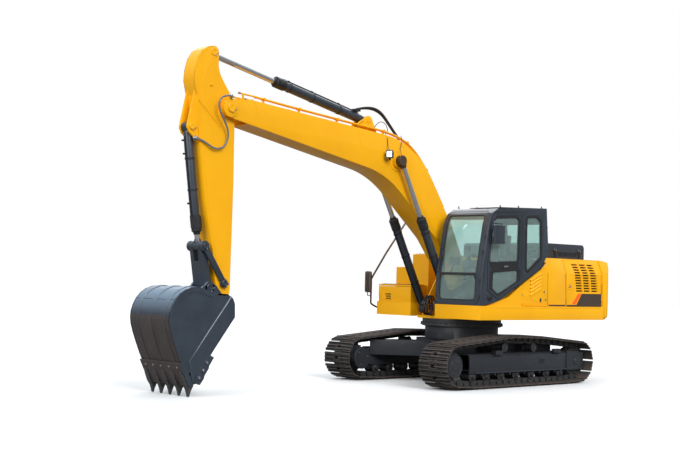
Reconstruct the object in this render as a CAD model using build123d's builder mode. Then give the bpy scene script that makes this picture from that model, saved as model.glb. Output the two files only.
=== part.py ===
"""A 21 tonne crawler excavator as separate pieces, in millimetres.

X points forward, Y to the operator's left and Z up. The origin is on the slewing axis at ground level.
The boom, arm and bucket stand in a plane of their own beside that axis, and the undercarriage is turned
a little under the house. Both are drawn about their own middle plane and set in place at the end.
"""
import os

from build123d import *

# Where the two groups that have a frame of their own stand
ATTACHMENT_Y = -80
UNDERCARRIAGE_TURN = 1.9

# Running clearance where one piece turns, slides or rests on another
RUN = 0.3

# Undercarriage
GAUGE = 2190
SHOE_WIDTH = 600
SHOE_COUNT = 49
GROUSER_HEIGHT = 26
GROUSER_BASE = 15
SHOE_PLATE = 12
RAIL_HEIGHT = 88
RAIL_WIDTH = 42
RAIL_GAP = 84
TRACK_TOP = 815
RAIL_DEPTH = GROUSER_HEIGHT + SHOE_PLATE + RAIL_HEIGHT
CARRIER_RADIUS = 56
CARRIER_Z = TRACK_TOP - RAIL_DEPTH - RUN - CARRIER_RADIUS
SPROCKET = (1640, 388, 360)
IDLER = (-1650, 383, 362)
BOTTOM_ROLLERS_X = (1110, 760, 370, -30, -450, -880, -1270)
CARRIER_ROLLERS_X = (275, -516)
ROLLER_RADIUS = 76
ROLLER_WIDTH = 190
FRAME_INNER = 150
FRAME_OUTER = 155
BRACKET = 118
YOKE = 112
HUB_RADIUS = 118
RING_RADIUS = 690

# House: deck, panels and counterweight
PLATE_BOTTOM = 1087
PLATE_TOP = 1135
DECK_BOTTOM = 1115
DECK_TOP = 1348
TRAY = 30
DECK_RIM = 72
DECK_FRONT = 1055
DECK_SIDE = 1350
PANEL_SIDE = 1310
SHOULDER_Z = 1930
HOOD_Z = 2186
HOOD_TOP = 2460
SHOULDER_INSET = 110
SHOULDER_Y = PANEL_SIDE - SHOULDER_INSET
PANEL = 30
SEAM = 6
DOOR_GAP = 12
DOOR_SEAM_X = -1240
RIGHT_SEAM_X = -1335
BULKHEAD_X = -1000
TANKS_SIDE_Y = -500
FRONT_SEAM_X = -47
WEIGHT_FRONT_X = -2290
TAIL_RADIUS = 2830
ENGINE_SIDE_Y = -620
TANK_WALL = 12
FUEL_FRONT_X = 350
HINGE_RADIUS = 7.5
HINGE_LENGTH = 60
HOOD_HINGE = (-1001, 2197)
LID_HINGE = (366, 1655)

# Cab
CAB_INNER_Y = 338
CAB_OUTER_Y = 1345
CAB_WALL = 45
GLASS = 8

# Boom, arm and bucket, as (x, z) of each pin
BOOM_FOOT = (160, 1806)
BOOM_TIP = (5330, 4208)
BOOM_CYLINDER_FOOT = (545, 1252)
BOOM_CYLINDER_HEAD = (1845, 3706)
ARM_CYLINDER_FOOT = (2411, 4335)
ARM_TOP = (5600, 5015)
BUCKET_CYLINDER_FOOT = (5937, 3882)
BUCKET_PIN = (5334, 1280)
IDLER_PIN = (5317, 1617)
LINK_PIN = (5681, 2150)
BUCKET_LINK_PIN = (5578, 1550)
BOOM_HALF = 225
ARM_HALF = 140
CHEEK_GAP = 8
CHEEK = 38
FOOT_GAP = 6
UPRIGHT = 28
FORK_RADIUS = 430
BOOM_CYLINDER_Y = 328
BUCKET_HALF = 492
FOOT_PIN = 60
TIP_PIN = 50
BUCKET_PIN_RADIUS = 45
IDLER_PIN_RADIUS = 38
LINK_PIN_RADIUS = 34

UNDERCARRIAGE = Location((0, 0, 0), (0, 0, UNDERCARRIAGE_TURN))
ATTACHMENT = Location((0, ATTACHMENT_Y, 0))
LEFT_RIGHT = (1, -1)
SIDE_PLANE = Plane.XZ
PIECES = []


def save(name, piece, place=Location()):
    """Labels a finished piece, sets it in its place and writes it."""
    placed = piece.moved(place)
    placed.label = name
    export_step(placed, f"parts/{name}.step")
    PIECES.append(name)


def outline(points, bosses=(), bend=0):
    """A filled side outline of (x, z) corners, with round bosses of (x, z, radius) joined to it."""
    with BuildSketch(SIDE_PLANE) as shape:
        with BuildLine():
            Polyline(*points, close=True)
        make_face()
        if bend:
            fillet(shape.vertices(), bend)
        for x, z, radius in bosses:
            with Locations((x, z)):
                Circle(radius)
    return shape.sketch


def across(shape, low_y, high_y, mode=Mode.ADD):
    """Extrudes a side outline over the width from low_y to high_y."""
    extrude(shape.moved(Location((0, high_y, 0))), amount=high_y - low_y, mode=mode)


def both_sides(shape, inner_y, outer_y, mode=Mode.ADD):
    """Extrudes a side outline on the left and on the right of the middle plane."""
    across(shape, inner_y, outer_y, mode)
    across(shape, -outer_y, -inner_y, mode)


def block(low, high, mode=Mode.ADD):
    """A box between two corners."""
    with Locations(tuple((a + b) / 2 for a, b in zip(low, high))):
        Box(*(b - a for a, b in zip(low, high)), mode=mode)


def pin(centre, radius, low_y, high_y, mode=Mode.ADD):
    """A round bar across the machine at (x, z)."""
    with Locations(Location((centre[0], (low_y + high_y) / 2, centre[1]), (90, 0, 0))):
        Cylinder(radius, high_y - low_y, mode=mode)


def post(centre, radius, low_z, high_z, mode=Mode.ADD):
    """An upright round bar at (x, y)."""
    with Locations((centre[0], centre[1], (low_z + high_z) / 2)):
        Cylinder(radius, high_z - low_z, mode=mode)


def plan(points, low_z, high_z, mode=Mode.ADD):
    """Extrudes a plan outline of (x, y) corners from low_z to high_z."""
    with BuildSketch(Plane.XY.offset(low_z)) as shape:
        with BuildLine():
            Polyline(*points, close=True)
        make_face()
    extrude(shape.sketch, amount=high_z - low_z, mode=mode)


def section(points, low_x, high_x, mode=Mode.ADD):
    """Extrudes a cross-section of (y, z) corners from low_x to high_x."""
    with BuildSketch(Plane.YZ.offset(low_x)) as shape:
        with BuildLine():
            Polyline(*points, close=True)
        make_face()
    extrude(shape.sketch, amount=high_x - low_x, mode=mode)


def bar(points, radius):
    """A bent round tube through the given points, with rounded corners."""
    with BuildLine() as path:
        FilletPolyline(*points, radius=3 * radius)
    with BuildSketch(Plane(origin=path.line @ 0, z_dir=path.line % 0)) as ring:
        Circle(radius)
    sweep(ring.sketch, path=path.line)


def span(start, end):
    """The distance between two (x, z) points."""
    return sum((b - a) ** 2 for a, b in zip(start, end)) ** 0.5


# Undercarriage


def loop_face(depth):
    """The track's side outline, at a depth inside its grouser tips."""
    wheels = (
        SPROCKET,
        IDLER,
        (CARRIER_ROLLERS_X[0], TRACK_TOP - 200, 200),
        (CARRIER_ROLLERS_X[1], TRACK_TOP - 200, 200),
        (BOTTOM_ROLLERS_X[0] + 90, 260, 260),
        (BOTTOM_ROLLERS_X[-1] - 60, 260, 260),
    )
    with BuildSketch(SIDE_PLANE) as shape:
        for x, z, radius in wheels:
            with Locations((x, z)):
                Circle(radius - depth)
        make_hull()
    return shape.sketch


def shoe_points():
    """Corners of the shoes' outer outline, with three grousers on each shoe."""
    wire = loop_face(GROUSER_HEIGHT).wire()
    inside = Vector(0, 0, TRACK_TOP / 2)
    points = []
    for shoe in range(SHOE_COUNT):
        for place in (0.14, 0.5, 0.86):
            share = (shoe + place) / SHOE_COUNT
            foot = wire @ share
            along = wire % share
            outward = along.cross(Vector(0, 1, 0))
            if outward.dot(foot - inside) < 0:
                outward = -outward
            tip = foot + outward * GROUSER_HEIGHT
            for step in (foot - along * GROUSER_BASE, tip, foot + along * GROUSER_BASE):
                points.append((step.X, step.Z))
    return points


def make_tracks():
    shoes = outline(shoe_points())
    under_shoes = loop_face(GROUSER_HEIGHT + SHOE_PLATE)
    rail_inside = loop_face(RAIL_DEPTH)
    rail_outside = loop_face(GROUSER_HEIGHT + SHOE_PLATE / 2)
    with BuildPart() as tracks:
        for side in LEFT_RIGHT:
            middle = side * GAUGE / 2
            across(shoes, middle - SHOE_WIDTH / 2, middle + SHOE_WIDTH / 2)
            across(under_shoes, middle - SHOE_WIDTH / 2, middle + SHOE_WIDTH / 2, Mode.SUBTRACT)
        rails = rail_outside - rail_inside
        for side in LEFT_RIGHT:
            for rail in LEFT_RIGHT:
                centre = side * GAUGE / 2 + rail * (RAIL_GAP + RAIL_WIDTH) / 2
                across(rails, centre - RAIL_WIDTH / 2, centre + RAIL_WIDTH / 2)
    save("tracks", tracks.part, UNDERCARRIAGE)


CAR_BODY_BOTTOM = 430
LEG_TOP = 690


def make_center_frame():
    leg = ((560, 100), (1330, 945), (760, 945), (150, 560))
    with BuildPart() as frame:
        block((-560, -560, CAR_BODY_BOTTOM), (560, 560, 750))
        for fore in LEFT_RIGHT:
            for side in LEFT_RIGHT:
                plan([(fore * x, side * y) for x, y in leg], CAR_BODY_BOTTOM, LEG_TOP)
        post((0, 0), 640, 740, 955)
        post((0, 0), 500, CAR_BODY_BOTTOM + 30, 955, Mode.SUBTRACT)
    save("center_frame", frame.part, UNDERCARRIAGE)


def make_slew_ring():
    with BuildPart() as ring:
        post((0, 0), RING_RADIUS, 955, PLATE_BOTTOM - RUN)
        post((0, 0), 560, 955, PLATE_BOTTOM, Mode.SUBTRACT)
    save("slew_ring", ring.part, UNDERCARRIAGE)


def make_track_frames():
    beam = (
        (-150, 250), (-132, 250), (-132, 288), (137, 288), (137, 250), (155, 250), (155, 560), (-150, 560),
    )
    hollow = ((-132, 306), (137, 306), (137, 542), (-132, 542))
    drive_plate = outline(((1200, 262), (1500, 262), (1500, 520), (1200, 548)), (SPROCKET[:2] + (205,),))
    with BuildPart() as frames:
        for side in LEFT_RIGHT:
            middle = side * GAUGE / 2
            section([(middle + side * y, z) for y, z in beam], -1391, 1257)
            section([(middle + side * y, z) for y, z in hollow], -1400, 1270, Mode.SUBTRACT)
            for plate in LEFT_RIGHT:
                low, high = sorted((middle + plate * YOKE, middle + plate * FRAME_OUTER))
                block((-1893, low, 232), (-1391, high, 530))
            low, high = sorted((middle - side * FRAME_INNER, middle - side * BRACKET))
            across(drive_plate, low, high)
            pin(SPROCKET[:2], HUB_RADIUS + RUN, low, high, Mode.SUBTRACT)
            for x in CARRIER_ROLLERS_X:
                block((x - 60, low, 540), (x + 60, high, CARRIER_Z + 27))
    save("track_frames", frames.part, UNDERCARRIAGE)


def make_sprockets():
    x, z, radius = SPROCKET
    teeth = 21
    with BuildSketch(SIDE_PLANE) as shape:
        with Locations((x, z)):
            Circle(radius - 100)
            with PolarLocations(radius - 92, teeth):
                RegularPolygon(26, 3, rotation=0)
            Circle(HUB_RADIUS + RUN, mode=Mode.SUBTRACT)
    with BuildPart() as sprockets:
        for side in LEFT_RIGHT:
            across(shape.sketch, side * GAUGE / 2 - 30, side * GAUGE / 2 + 30)
    save("sprockets", sprockets.part, UNDERCARRIAGE)


DRIVE_STEPS = (
    # radius, inner and outer place across the track, counted from its middle
    (HUB_RADIUS, -160, 60), (192, 32, 158), (150, 158, 172), (185, -275, -FRAME_INNER),
)


def make_final_drives():
    centre = SPROCKET[:2]
    with BuildPart() as drives:
        for side in LEFT_RIGHT:
            middle = side * GAUGE / 2
            for radius, inner, outer in DRIVE_STEPS:
                low, high = sorted((middle + side * inner, middle + side * outer))
                pin(centre, radius, low, high)
    save("final_drives", drives.part, UNDERCARRIAGE)


def make_idlers():
    x, z, radius = IDLER
    tread = radius - RAIL_DEPTH - RUN
    with BuildPart() as idlers:
        for side in LEFT_RIGHT:
            middle = side * GAUGE / 2
            pin((x, z), tread, middle - 82, middle + 82)
            pin((x, z), tread + 22, middle - 38, middle + 38)
            pin((x, z), 60, middle - YOKE, middle + YOKE)
    save("idlers", idlers.part, UNDERCARRIAGE)


def make_rollers(name, places, radius, z, axle_inner, axle_outer):
    """A row of rollers on each side, with an axle from axle_inner to axle_outer of the track's middle."""
    with BuildPart() as rollers:
        for side in LEFT_RIGHT:
            middle = side * GAUGE / 2
            low, high = sorted((middle + side * axle_inner, middle + side * axle_outer))
            for x in places:
                pin((x, z), radius, middle - ROLLER_WIDTH / 2, middle + ROLLER_WIDTH / 2)
                pin((x, z), radius * 0.55, low, high)
    save(name, rollers.part, UNDERCARRIAGE)


# House


UPRIGHT_INNER = BOOM_HALF + FOOT_GAP
UPRIGHT_OUTER = UPRIGHT_INNER + UPRIGHT
BOOM_EYE = 48
BOOM_EYE_INNER = BOOM_CYLINDER_Y - BOOM_EYE
CENTRE_PLATE = (
    (WEIGHT_FRONT_X, -505), (600, -505), (640, -465), (640, CAB_INNER_Y - 38), (600, CAB_INNER_Y + 7),
    (WEIGHT_FRONT_X, CAB_INNER_Y + 7),
)
DECK_TRAYS = (
    # front, right and left edge
    (DECK_FRONT, CAB_INNER_Y, DECK_SIDE),
    (780, -DECK_SIDE, -500),
)
FRAME_BOSSES = (
    # pin, radius, inner and outer place beside the boom's middle
    (BOOM_FOOT, FOOT_PIN, 0, UPRIGHT_OUTER + 24),
    (BOOM_FOOT, 78, UPRIGHT_INNER, UPRIGHT_OUTER + 16),
    (BOOM_CYLINDER_FOOT, 74, UPRIGHT_INNER, BOOM_EYE_INNER - RUN),
    (BOOM_CYLINDER_FOOT, 42, UPRIGHT_INNER, BOOM_EYE_INNER + 2 * BOOM_EYE + 14),
)


def make_swing_frame():
    upright = outline(
        (
            (BULKHEAD_X, PLATE_TOP - 5), (650, PLATE_TOP - 5), (650, 1270), (285, 1850), (60, 1880),
            (-700, 1430), (BULKHEAD_X, 1410),
        ),
        (BOOM_FOOT + (118,), BOOM_CYLINDER_FOOT + (92,)),
    )
    with BuildPart() as frame:
        plan(CENTRE_PLATE, PLATE_BOTTOM, PLATE_TOP)
        for front, low_y, high_y in DECK_TRAYS:
            block((WEIGHT_FRONT_X, low_y, DECK_BOTTOM), (front, high_y, DECK_TOP))
            inside = (WEIGHT_FRONT_X + DECK_RIM, low_y + DECK_RIM, DECK_BOTTOM + TRAY)
            block(inside, (front - DECK_RIM, high_y - DECK_RIM, DECK_TOP), Mode.SUBTRACT)
        for centre, radius, inner, outer in FRAME_BOSSES:
            for side in LEFT_RIGHT:
                low, high = sorted((ATTACHMENT_Y + side * inner, ATTACHMENT_Y + side * outer))
                pin(centre, radius, low, high)
        for side in LEFT_RIGHT:
            low, high = sorted((ATTACHMENT_Y + side * UPRIGHT_INNER, ATTACHMENT_Y + side * UPRIGHT_OUTER))
            across(upright, low, high)
    save("swing_frame", frame.part)


def house_section(wall, low_x, high_x, mode=Mode.ADD):
    """The outer cross-section of the body behind the cab, drawn in by a wall's thickness."""
    side, top, floor = PANEL_SIDE - wall, HOOD_Z - wall, DECK_TOP
    shoulder = SHOULDER_Z - wall * 0.35
    half = ((side, floor), (side, shoulder), (side - SHOULDER_INSET, top))
    section(half + tuple((-y, z) for y, z in reversed(half)), low_x, high_x, mode)


def hinge_half(centre, low_z, moving):
    """One half of an upright hinge: the lower knuckle is the door's, the upper one the body's."""
    lower = (low_z, low_z + HINGE_LENGTH)
    upper = (low_z + HINGE_LENGTH + RUN, low_z + 2 * HINGE_LENGTH)
    own, other = (lower, upper) if moving else (upper, lower)
    post(centre, HINGE_RADIUS + RUN, other[0] - RUN, other[1] + RUN, Mode.SUBTRACT)
    post(centre, HINGE_RADIUS, *own)


def level_hinge_half(centre, low_y, moving):
    """One half of a level hinge at (x, z), with the moving knuckle on the right of the fixed one."""
    start = low_y if moving else low_y + HINGE_LENGTH + RUN
    pin(centre, HINGE_RADIUS, start, start + HINGE_LENGTH)


REAR_HINGE = (WEIGHT_FRONT_X + HINGE_RADIUS - 0.5, PANEL_SIDE)
REAR_HINGES_Z = (1450, 1760)
FRONT_HINGES_Z = (1400, 1560)
HOOD_HINGES_Y = (-440, 580)
LID_HINGES_Y = (-1240, -700)
LEFT_DOOR_FRONT = (
    (FRONT_SEAM_X - 3, DECK_TOP + SEAM), (FRONT_SEAM_X - 3, 1712), (-560, 1980),
    (-735, 2130), (-735, DECK_TOP + SEAM),
)


def make_body_panels():
    with BuildPart() as panels:
        house_section(0, WEIGHT_FRONT_X, -740)
        house_section(PANEL, WEIGHT_FRONT_X - 20, -700, Mode.SUBTRACT)
        block((-2240, -860, 2100), (-1060, 860, 2200), Mode.SUBTRACT)
        block((WEIGHT_FRONT_X, SHOULDER_Y, DECK_TOP), (DOOR_SEAM_X, 1400, 2300), Mode.SUBTRACT)
        block((WEIGHT_FRONT_X, -1400, DECK_TOP), (RIGHT_SEAM_X, -SHOULDER_Y, 2300), Mode.SUBTRACT)
        block((-1300, -1400, DECK_TOP), (-700, 330, 2300), Mode.SUBTRACT)
        block((RIGHT_SEAM_X, -PANEL_SIDE, DECK_TOP), (-1305, TANKS_SIDE_Y, SHOULDER_Z))
        block((RIGHT_SEAM_X, -1195, SHOULDER_Z), (-1305, TANKS_SIDE_Y, HOOD_Z))
        block((RIGHT_SEAM_X, TANKS_SIDE_Y, DECK_TOP), (BULKHEAD_X, TANKS_SIDE_Y + PANEL, HOOD_Z))
        block((BULKHEAD_X - PANEL, TANKS_SIDE_Y, PLATE_TOP), (BULKHEAD_X, CAB_INNER_Y, HOOD_Z))
        for y in HOOD_HINGES_Y:
            level_hinge_half(HOOD_HINGE, y, False)
            low = y + HINGE_LENGTH + RUN
            foot = (HOOD_HINGE[0] - 5, low, HOOD_Z - 5)
            block(foot, (BULKHEAD_X, low + HINGE_LENGTH, HOOD_HINGE[1]))
    save("body_panels", panels.part)


GRILLE_START = (-1535, 1614)
GRILLE_SLOT = (180, 26)
GRILLE_PITCH = (222, 46)
GRILLE_LEAN = 7.2
GRILLE_ROWS = 11


def grille(columns, low_y, high_y):
    """Rows of slots cut through a door, each row a little further forward than the one below."""
    for column in range(columns):
        for row in range(GRILLE_ROWS):
            x = GRILLE_START[0] - column * GRILLE_PITCH[0] + row * GRILLE_LEAN
            z = GRILLE_START[1] + row * GRILLE_PITCH[1]
            block((x - GRILLE_SLOT[0], low_y, z), (x, high_y, z + GRILLE_SLOT[1]), Mode.SUBTRACT)


def make_left_rear_door():
    with BuildPart() as door:
        house_section(0, WEIGHT_FRONT_X + 8, DOOR_SEAM_X - DOOR_GAP)
        house_section(PANEL, WEIGHT_FRONT_X, DOOR_SEAM_X, Mode.SUBTRACT)
        low = (WEIGHT_FRONT_X, SHOULDER_Y + SEAM, DECK_TOP + SEAM)
        block(low, (DOOR_SEAM_X, 1400, 2300), Mode.INTERSECT)
        for z in REAR_HINGES_Z:
            hinge_half(REAR_HINGE, z, True)
        grille(3, SHOULDER_Y - 10, 1400)
    save("left_rear_door", door.part)


def make_right_rear_door():
    with BuildPart() as door:
        house_section(0, WEIGHT_FRONT_X + 8, RIGHT_SEAM_X - DOOR_GAP)
        house_section(PANEL, WEIGHT_FRONT_X, RIGHT_SEAM_X, Mode.SUBTRACT)
        high = (RIGHT_SEAM_X, -SHOULDER_Y - SEAM, 2300)
        block((WEIGHT_FRONT_X, -1400, DECK_TOP + SEAM), high, Mode.INTERSECT)
        for z in REAR_HINGES_Z:
            hinge_half((REAR_HINGE[0], -REAR_HINGE[1]), z, True)
        grille(2, -1400, 10 - SHOULDER_Y)
    save("right_rear_door", door.part)


def make_left_front_door():
    with BuildPart() as door:
        across(outline(LEFT_DOOR_FRONT), PANEL_SIDE - PANEL, PANEL_SIDE)
        for z in FRONT_HINGES_Z:
            hinge_half((FRONT_SEAM_X, PANEL_SIDE), z, True)
        for row in range(5):
            slot = outline(
                (
                    (-250, 1520 + row * 62),
                    (-530, 1645 + row * 62),
                    (-530, 1670 + row * 62),
                    (-250, 1545 + row * 62),
                )
            )
            across(slot, PANEL_SIDE - 60, PANEL_SIDE + 10, Mode.SUBTRACT)
    save("left_front_door", door.part)


def make_front_panel():
    """The fixed corner of sheet under the cab's sloping lower edge."""
    rear = FRONT_SEAM_X + 3
    sheet = outline(((880, DECK_TOP), (300, 1500), (rear, 1712), (rear, DECK_TOP)))
    with BuildPart() as panel:
        across(sheet, PANEL_SIDE - PANEL, PANEL_SIDE)
        for z in FRONT_HINGES_Z:
            hinge_half((FRONT_SEAM_X, PANEL_SIDE), z, False)
    save("front_side_panel", panel.part)


# Threaded holes for the two lifting eyes that take the counterweight off
LIFTING_X, LIFTING_Y = -2640, 550
LIFTING_RADIUS = 21
LIFTING_DEPTH = 110


def make_counterweight():
    with BuildSketch(Plane.XY.offset(DECK_BOTTOM)) as shape:
        Circle(TAIL_RADIUS)
        with Locations((WEIGHT_FRONT_X - 400, 0)):
            Rectangle(800, 2 * PANEL_SIDE + 40, mode=Mode.INTERSECT)
        fillet(shape.vertices().sort_by(Axis.X)[:2], 170)
    half = ((1330, DECK_BOTTOM), (1330, SHOULDER_Z), (1220, HOOD_Z))
    with BuildPart() as weight:
        extrude(shape.sketch, amount=HOOD_Z - DECK_BOTTOM)
        section(half + tuple((-y, z) for y, z in reversed(half)), -3000, -2000, Mode.INTERSECT)
        block((-2460, -1150, 1250), (WEIGHT_FRONT_X + 5, 1150, 2120), Mode.SUBTRACT)
        for side in LEFT_RIGHT:
            post((LIFTING_X, side * LIFTING_Y), LIFTING_RADIUS, HOOD_Z - LIFTING_DEPTH, HOOD_Z, Mode.SUBTRACT)
            for z in REAR_HINGES_Z:
                hinge_half((REAR_HINGE[0], side * REAR_HINGE[1]), z, False)
    save("counterweight", weight.part)


def make_engine_hood():
    with BuildPart() as hood:
        block((-2284, -900, HOOD_Z + 5), (-1010, 900, HOOD_TOP))
        fillet(hood.edges().filter_by(Axis.Y).group_by(Axis.Z)[-1], 70)
        block((-2284 + TRAY, TRAY - 900, HOOD_Z), (-1010 - TRAY, 900 - TRAY, HOOD_TOP - TRAY), Mode.SUBTRACT)
        for y in HOOD_HINGES_Y:
            level_hinge_half(HOOD_HINGE, y, True)
            block((-1012, y, HOOD_HINGE[1] - 5), (HOOD_HINGE[0], y + HINGE_LENGTH, HOOD_HINGE[1] + 5))
    save("engine_hood", hood.part)


def make_engine_block():
    with BuildPart() as engine:
        block((-2230, ENGINE_SIDE_Y, DECK_TOP), (-1480, 430, 2060))
    save("engine_block", engine.part)


def make_radiator():
    with BuildPart() as radiator:
        block((-2200, 560, DECK_BOTTOM + TRAY), (-1420, 780, 2080))
    save("radiator", radiator.part)


def make_pumps():
    with BuildPart() as pumps:
        for z in (1500, 1760):
            pin((-1850, z), 115, -1000, ENGINE_SIDE_Y)
    save("hydraulic_pumps", pumps.part)


def hollow_block(low, high, wall):
    """A closed box with walls of one thickness."""
    block(low, high)
    block([a + wall for a in low], [b - wall for b in high], Mode.SUBTRACT)


def make_right_tanks():
    with BuildPart() as oil:
        for wall, mode in ((0, Mode.ADD), (TANK_WALL, Mode.SUBTRACT)):
            side, top = PANEL_SIDE - wall, HOOD_Z - wall
            corners = ((-side, DECK_TOP + wall), (-side, SHOULDER_Z), (SHOULDER_INSET - side, top))
            inner = TANKS_SIDE_Y - wall
            section(corners + ((inner, top), (inner, DECK_TOP + wall)), wall - 1290, -560 - wall, mode)
    save("hydraulic_tank", oil.part)
    with BuildPart() as fuel:
        hollow_block((-550, -PANEL_SIDE, DECK_TOP), (FUEL_FRONT_X, TANKS_SIDE_Y, 1975), TANK_WALL)
        hollow_block((-550, -900, 1975), (FUEL_FRONT_X, TANKS_SIDE_Y, 2207), TANK_WALL)
    save("fuel_tank", fuel.part)


def make_tool_box():
    with BuildPart() as box:
        block((FUEL_FRONT_X, -PANEL_SIDE, DECK_TOP), (775, -510, 1620))
        inside = (FUEL_FRONT_X + TRAY, TRAY - PANEL_SIDE, DECK_TOP + TRAY)
        block(inside, (775 - TRAY, -510 - TRAY, 1620), Mode.SUBTRACT)
        for row in range(3):
            block((740, -1140, 1395 + row * 38), (800, -1000, 1415 + row * 38), Mode.SUBTRACT)
        for y in LID_HINGES_Y:
            level_hinge_half(LID_HINGE, y, False)
            low = y + HINGE_LENGTH + RUN
            block((LID_HINGE[0] - 8, low, 1610), (LID_HINGE[0], low + HINGE_LENGTH, LID_HINGE[1]))
    save("tool_box", box.part)
    with BuildPart() as lid:
        block((LID_HINGE[0] + 12, -PANEL_SIDE, 1620 + SEAM), (775, -510, LID_HINGE[1]))
        for y in LID_HINGES_Y:
            level_hinge_half(LID_HINGE, y, True)
            block((LID_HINGE[0], y, LID_HINGE[1] - 7), (LID_HINGE[0] + 14, y + HINGE_LENGTH, LID_HINGE[1]))
    save("tool_box_lid", lid.part)


def make_valves():
    with BuildPart() as valves:
        block((-950, -210, PLATE_TOP), (-300, 50, 1560))
    save("control_valves", valves.part)


def make_swing_motor():
    with BuildPart() as motor:
        post((0, ATTACHMENT_Y), 150, PLATE_TOP, 1560)
    save("swing_motor", motor.part)


# Cab

CAB_SIDE = (
    (1035, DECK_TOP), (1020, 1858), (868, 2698), (790, 2880), (650, 2962), (14, 3007),
    (-620, 3030), (-690, 2260), (-500, 2014), (-27, 1752), (491, 1481), (745, 1395),
)
DOOR_SIDE = (
    (893, 1600), (900, 2010), (858, 2400), (800, 2760), (725, 2890), (-5, 2930), (-15, 1770), (620, 1455),
)
DOOR_UPPER = ((856, 2054), (822, 2364), (765, 2740), (700, 2806), (169, 2844), (101, 2787), (118, 2092))
DOOR_LOWER = ((763, 1914), (114, 1964), (120, 1758), (622, 1530), (779, 1629))
REAR_SIDE_WINDOW = ((-85, 2857), (-370, 2873), (-469, 2799), (-489, 2188), (-89, 1900))
RIGHT_WINDOW = ((880, 1600), (870, 2364), (740, 2800), (-450, 2860), (-489, 2188), (-89, 1900), (620, 1560))
WINDOW_BOXES = (
    ((760, 400, 1425), (1100, 1225, 1850)),
    ((760, 400, 1885), (1100, 1225, 2860)),
    ((-800, 430, 2250), (-600, 1250, 2850)),
)


def inset(points, distance):
    """A side outline of corners drawn inwards by a distance."""
    return offset(outline(points), amount=-distance, kind=Kind.INTERSECTION)


CAB_HINGE = (-12, CAB_OUTER_Y + 9.5)
CAB_HINGES_Z = (1850, 2600)


def cab_hinge_half(side, low_z):
    """One half of the cab door's outside hinge, with its leaf behind (-1) or ahead (1) of the axis."""
    x, y = CAB_HINGE
    post(CAB_HINGE, 9, low_z, low_z + 50 - RUN)
    for near, far, low_y in ((0, 26, CAB_OUTER_Y + 1), (16, 46, CAB_OUTER_Y)):
        low, high = sorted((x + side * near, x + side * far))
        block((low, low_y, low_z), (high, CAB_OUTER_Y + 6, low_z + 50 - RUN))


def make_cab():
    left_wall = (CAB_OUTER_Y - CAB_WALL - 5, CAB_OUTER_Y + 5)
    with BuildPart() as cab:
        across(outline(CAB_SIDE), CAB_INNER_Y, CAB_OUTER_Y)
        across(inset(CAB_SIDE, CAB_WALL), CAB_INNER_Y + CAB_WALL, CAB_OUTER_Y - CAB_WALL, Mode.SUBTRACT)
        for low, high in WINDOW_BOXES:
            block(low, high, Mode.SUBTRACT)
        across(outline(RIGHT_WINDOW), CAB_INNER_Y - 5, CAB_INNER_Y + CAB_WALL + 5, Mode.SUBTRACT)
        across(outline(REAR_SIDE_WINDOW), *left_wall, Mode.SUBTRACT)
        across(outline(DOOR_SIDE), *left_wall, Mode.SUBTRACT)
        for z in CAB_HINGES_Z:
            cab_hinge_half(-1, z + 50 + RUN)
    save("cab", cab.part)


def make_cab_glass():
    with BuildPart() as openings:
        for low, high in WINDOW_BOXES:
            block(low, high)
    with BuildPart() as glass:
        across(inset(CAB_SIDE, 6), CAB_INNER_Y, CAB_OUTER_Y)
        across(inset(CAB_SIDE, 6 + GLASS), CAB_INNER_Y, CAB_OUTER_Y, Mode.SUBTRACT)
        add(openings.part, mode=Mode.INTERSECT)
        across(outline(RIGHT_WINDOW), CAB_INNER_Y + 10, CAB_INNER_Y + 10 + GLASS)
        across(outline(REAR_SIDE_WINDOW), CAB_OUTER_Y - 10 - GLASS, CAB_OUTER_Y - 10)
    save("cab_glass", glass.part)


def make_cab_door():
    with BuildPart() as door:
        across(inset(DOOR_SIDE, 6), CAB_OUTER_Y - CAB_WALL, CAB_OUTER_Y)
        for pane in (DOOR_UPPER, DOOR_LOWER):
            across(outline(pane), CAB_OUTER_Y - CAB_WALL - 5, CAB_OUTER_Y + 5, Mode.SUBTRACT)
        for z in CAB_HINGES_Z:
            cab_hinge_half(1, z)
    save("cab_door", door.part)
    with BuildPart() as glass:
        for pane in (DOOR_UPPER, DOOR_LOWER):
            across(outline(pane), CAB_OUTER_Y - 10 - GLASS, CAB_OUTER_Y - 10)
    save("door_glass", glass.part)


def make_seat():
    with BuildPart() as seat:
        block((40, 600, 1855), (510, 1080, 1970))
        across(outline(((40, 1970), (150, 1970), (50, 2540), (-40, 2540))), 620, 1060)
        across(outline(((20, 2540), (-25, 2540), (-45, 2730), (5, 2730))), 730, 950)
    save("operator_seat", seat.part)


def make_console():
    with BuildPart() as console:
        block((100, 460, 1770), (430, 1220, 1855))
        across(outline(((100, 1737), (430, 1564.5), (430, 1780), (100, 1780))), 620, 1060)
        for side in LEFT_RIGHT:
            low, high = sorted((840 + side * 270, 840 + side * 380))
            block((100, low, 1770), (490, high, 2110))
            post((420, 840 + side * 325), 13, 2110, 2290)
            post((700, 840 + side * 90), 14, 1463, 1950)
    save("operator_console", console.part)


def make_mirrors():
    with BuildPart() as left:
        block((640, 1440, 2370), (880, 1490, 2670))
        bar(((787, CAB_OUTER_Y, 2706), (787, 1465, 2706), (700, 1465, 2706), (700, 1465, 2660)), 10)
    save("left_mirror", left.part)
    with BuildPart() as right:
        block((925, -1500, 1500), (965, -1330, 1880))
        block((902 + RUN, -1440, 1640), (926, -1400, 1740))
    save("right_mirror", right.part)


def make_handrails():
    with BuildPart() as rails:
        bar(
            (
                (700, -DECK_SIDE, 1230), (700, -1400 - 17, 1230), (885, -1400, 1300), (885, -1400, 1745),
                (530, -1400, 2215), (80, -1330, 2830), (-220, -1200, 2830), (-300, -1100, 2560),
                (-300, -1100, 1975),
            ),
            17,
        )
    save("right_handrail", rails.part)


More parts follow.
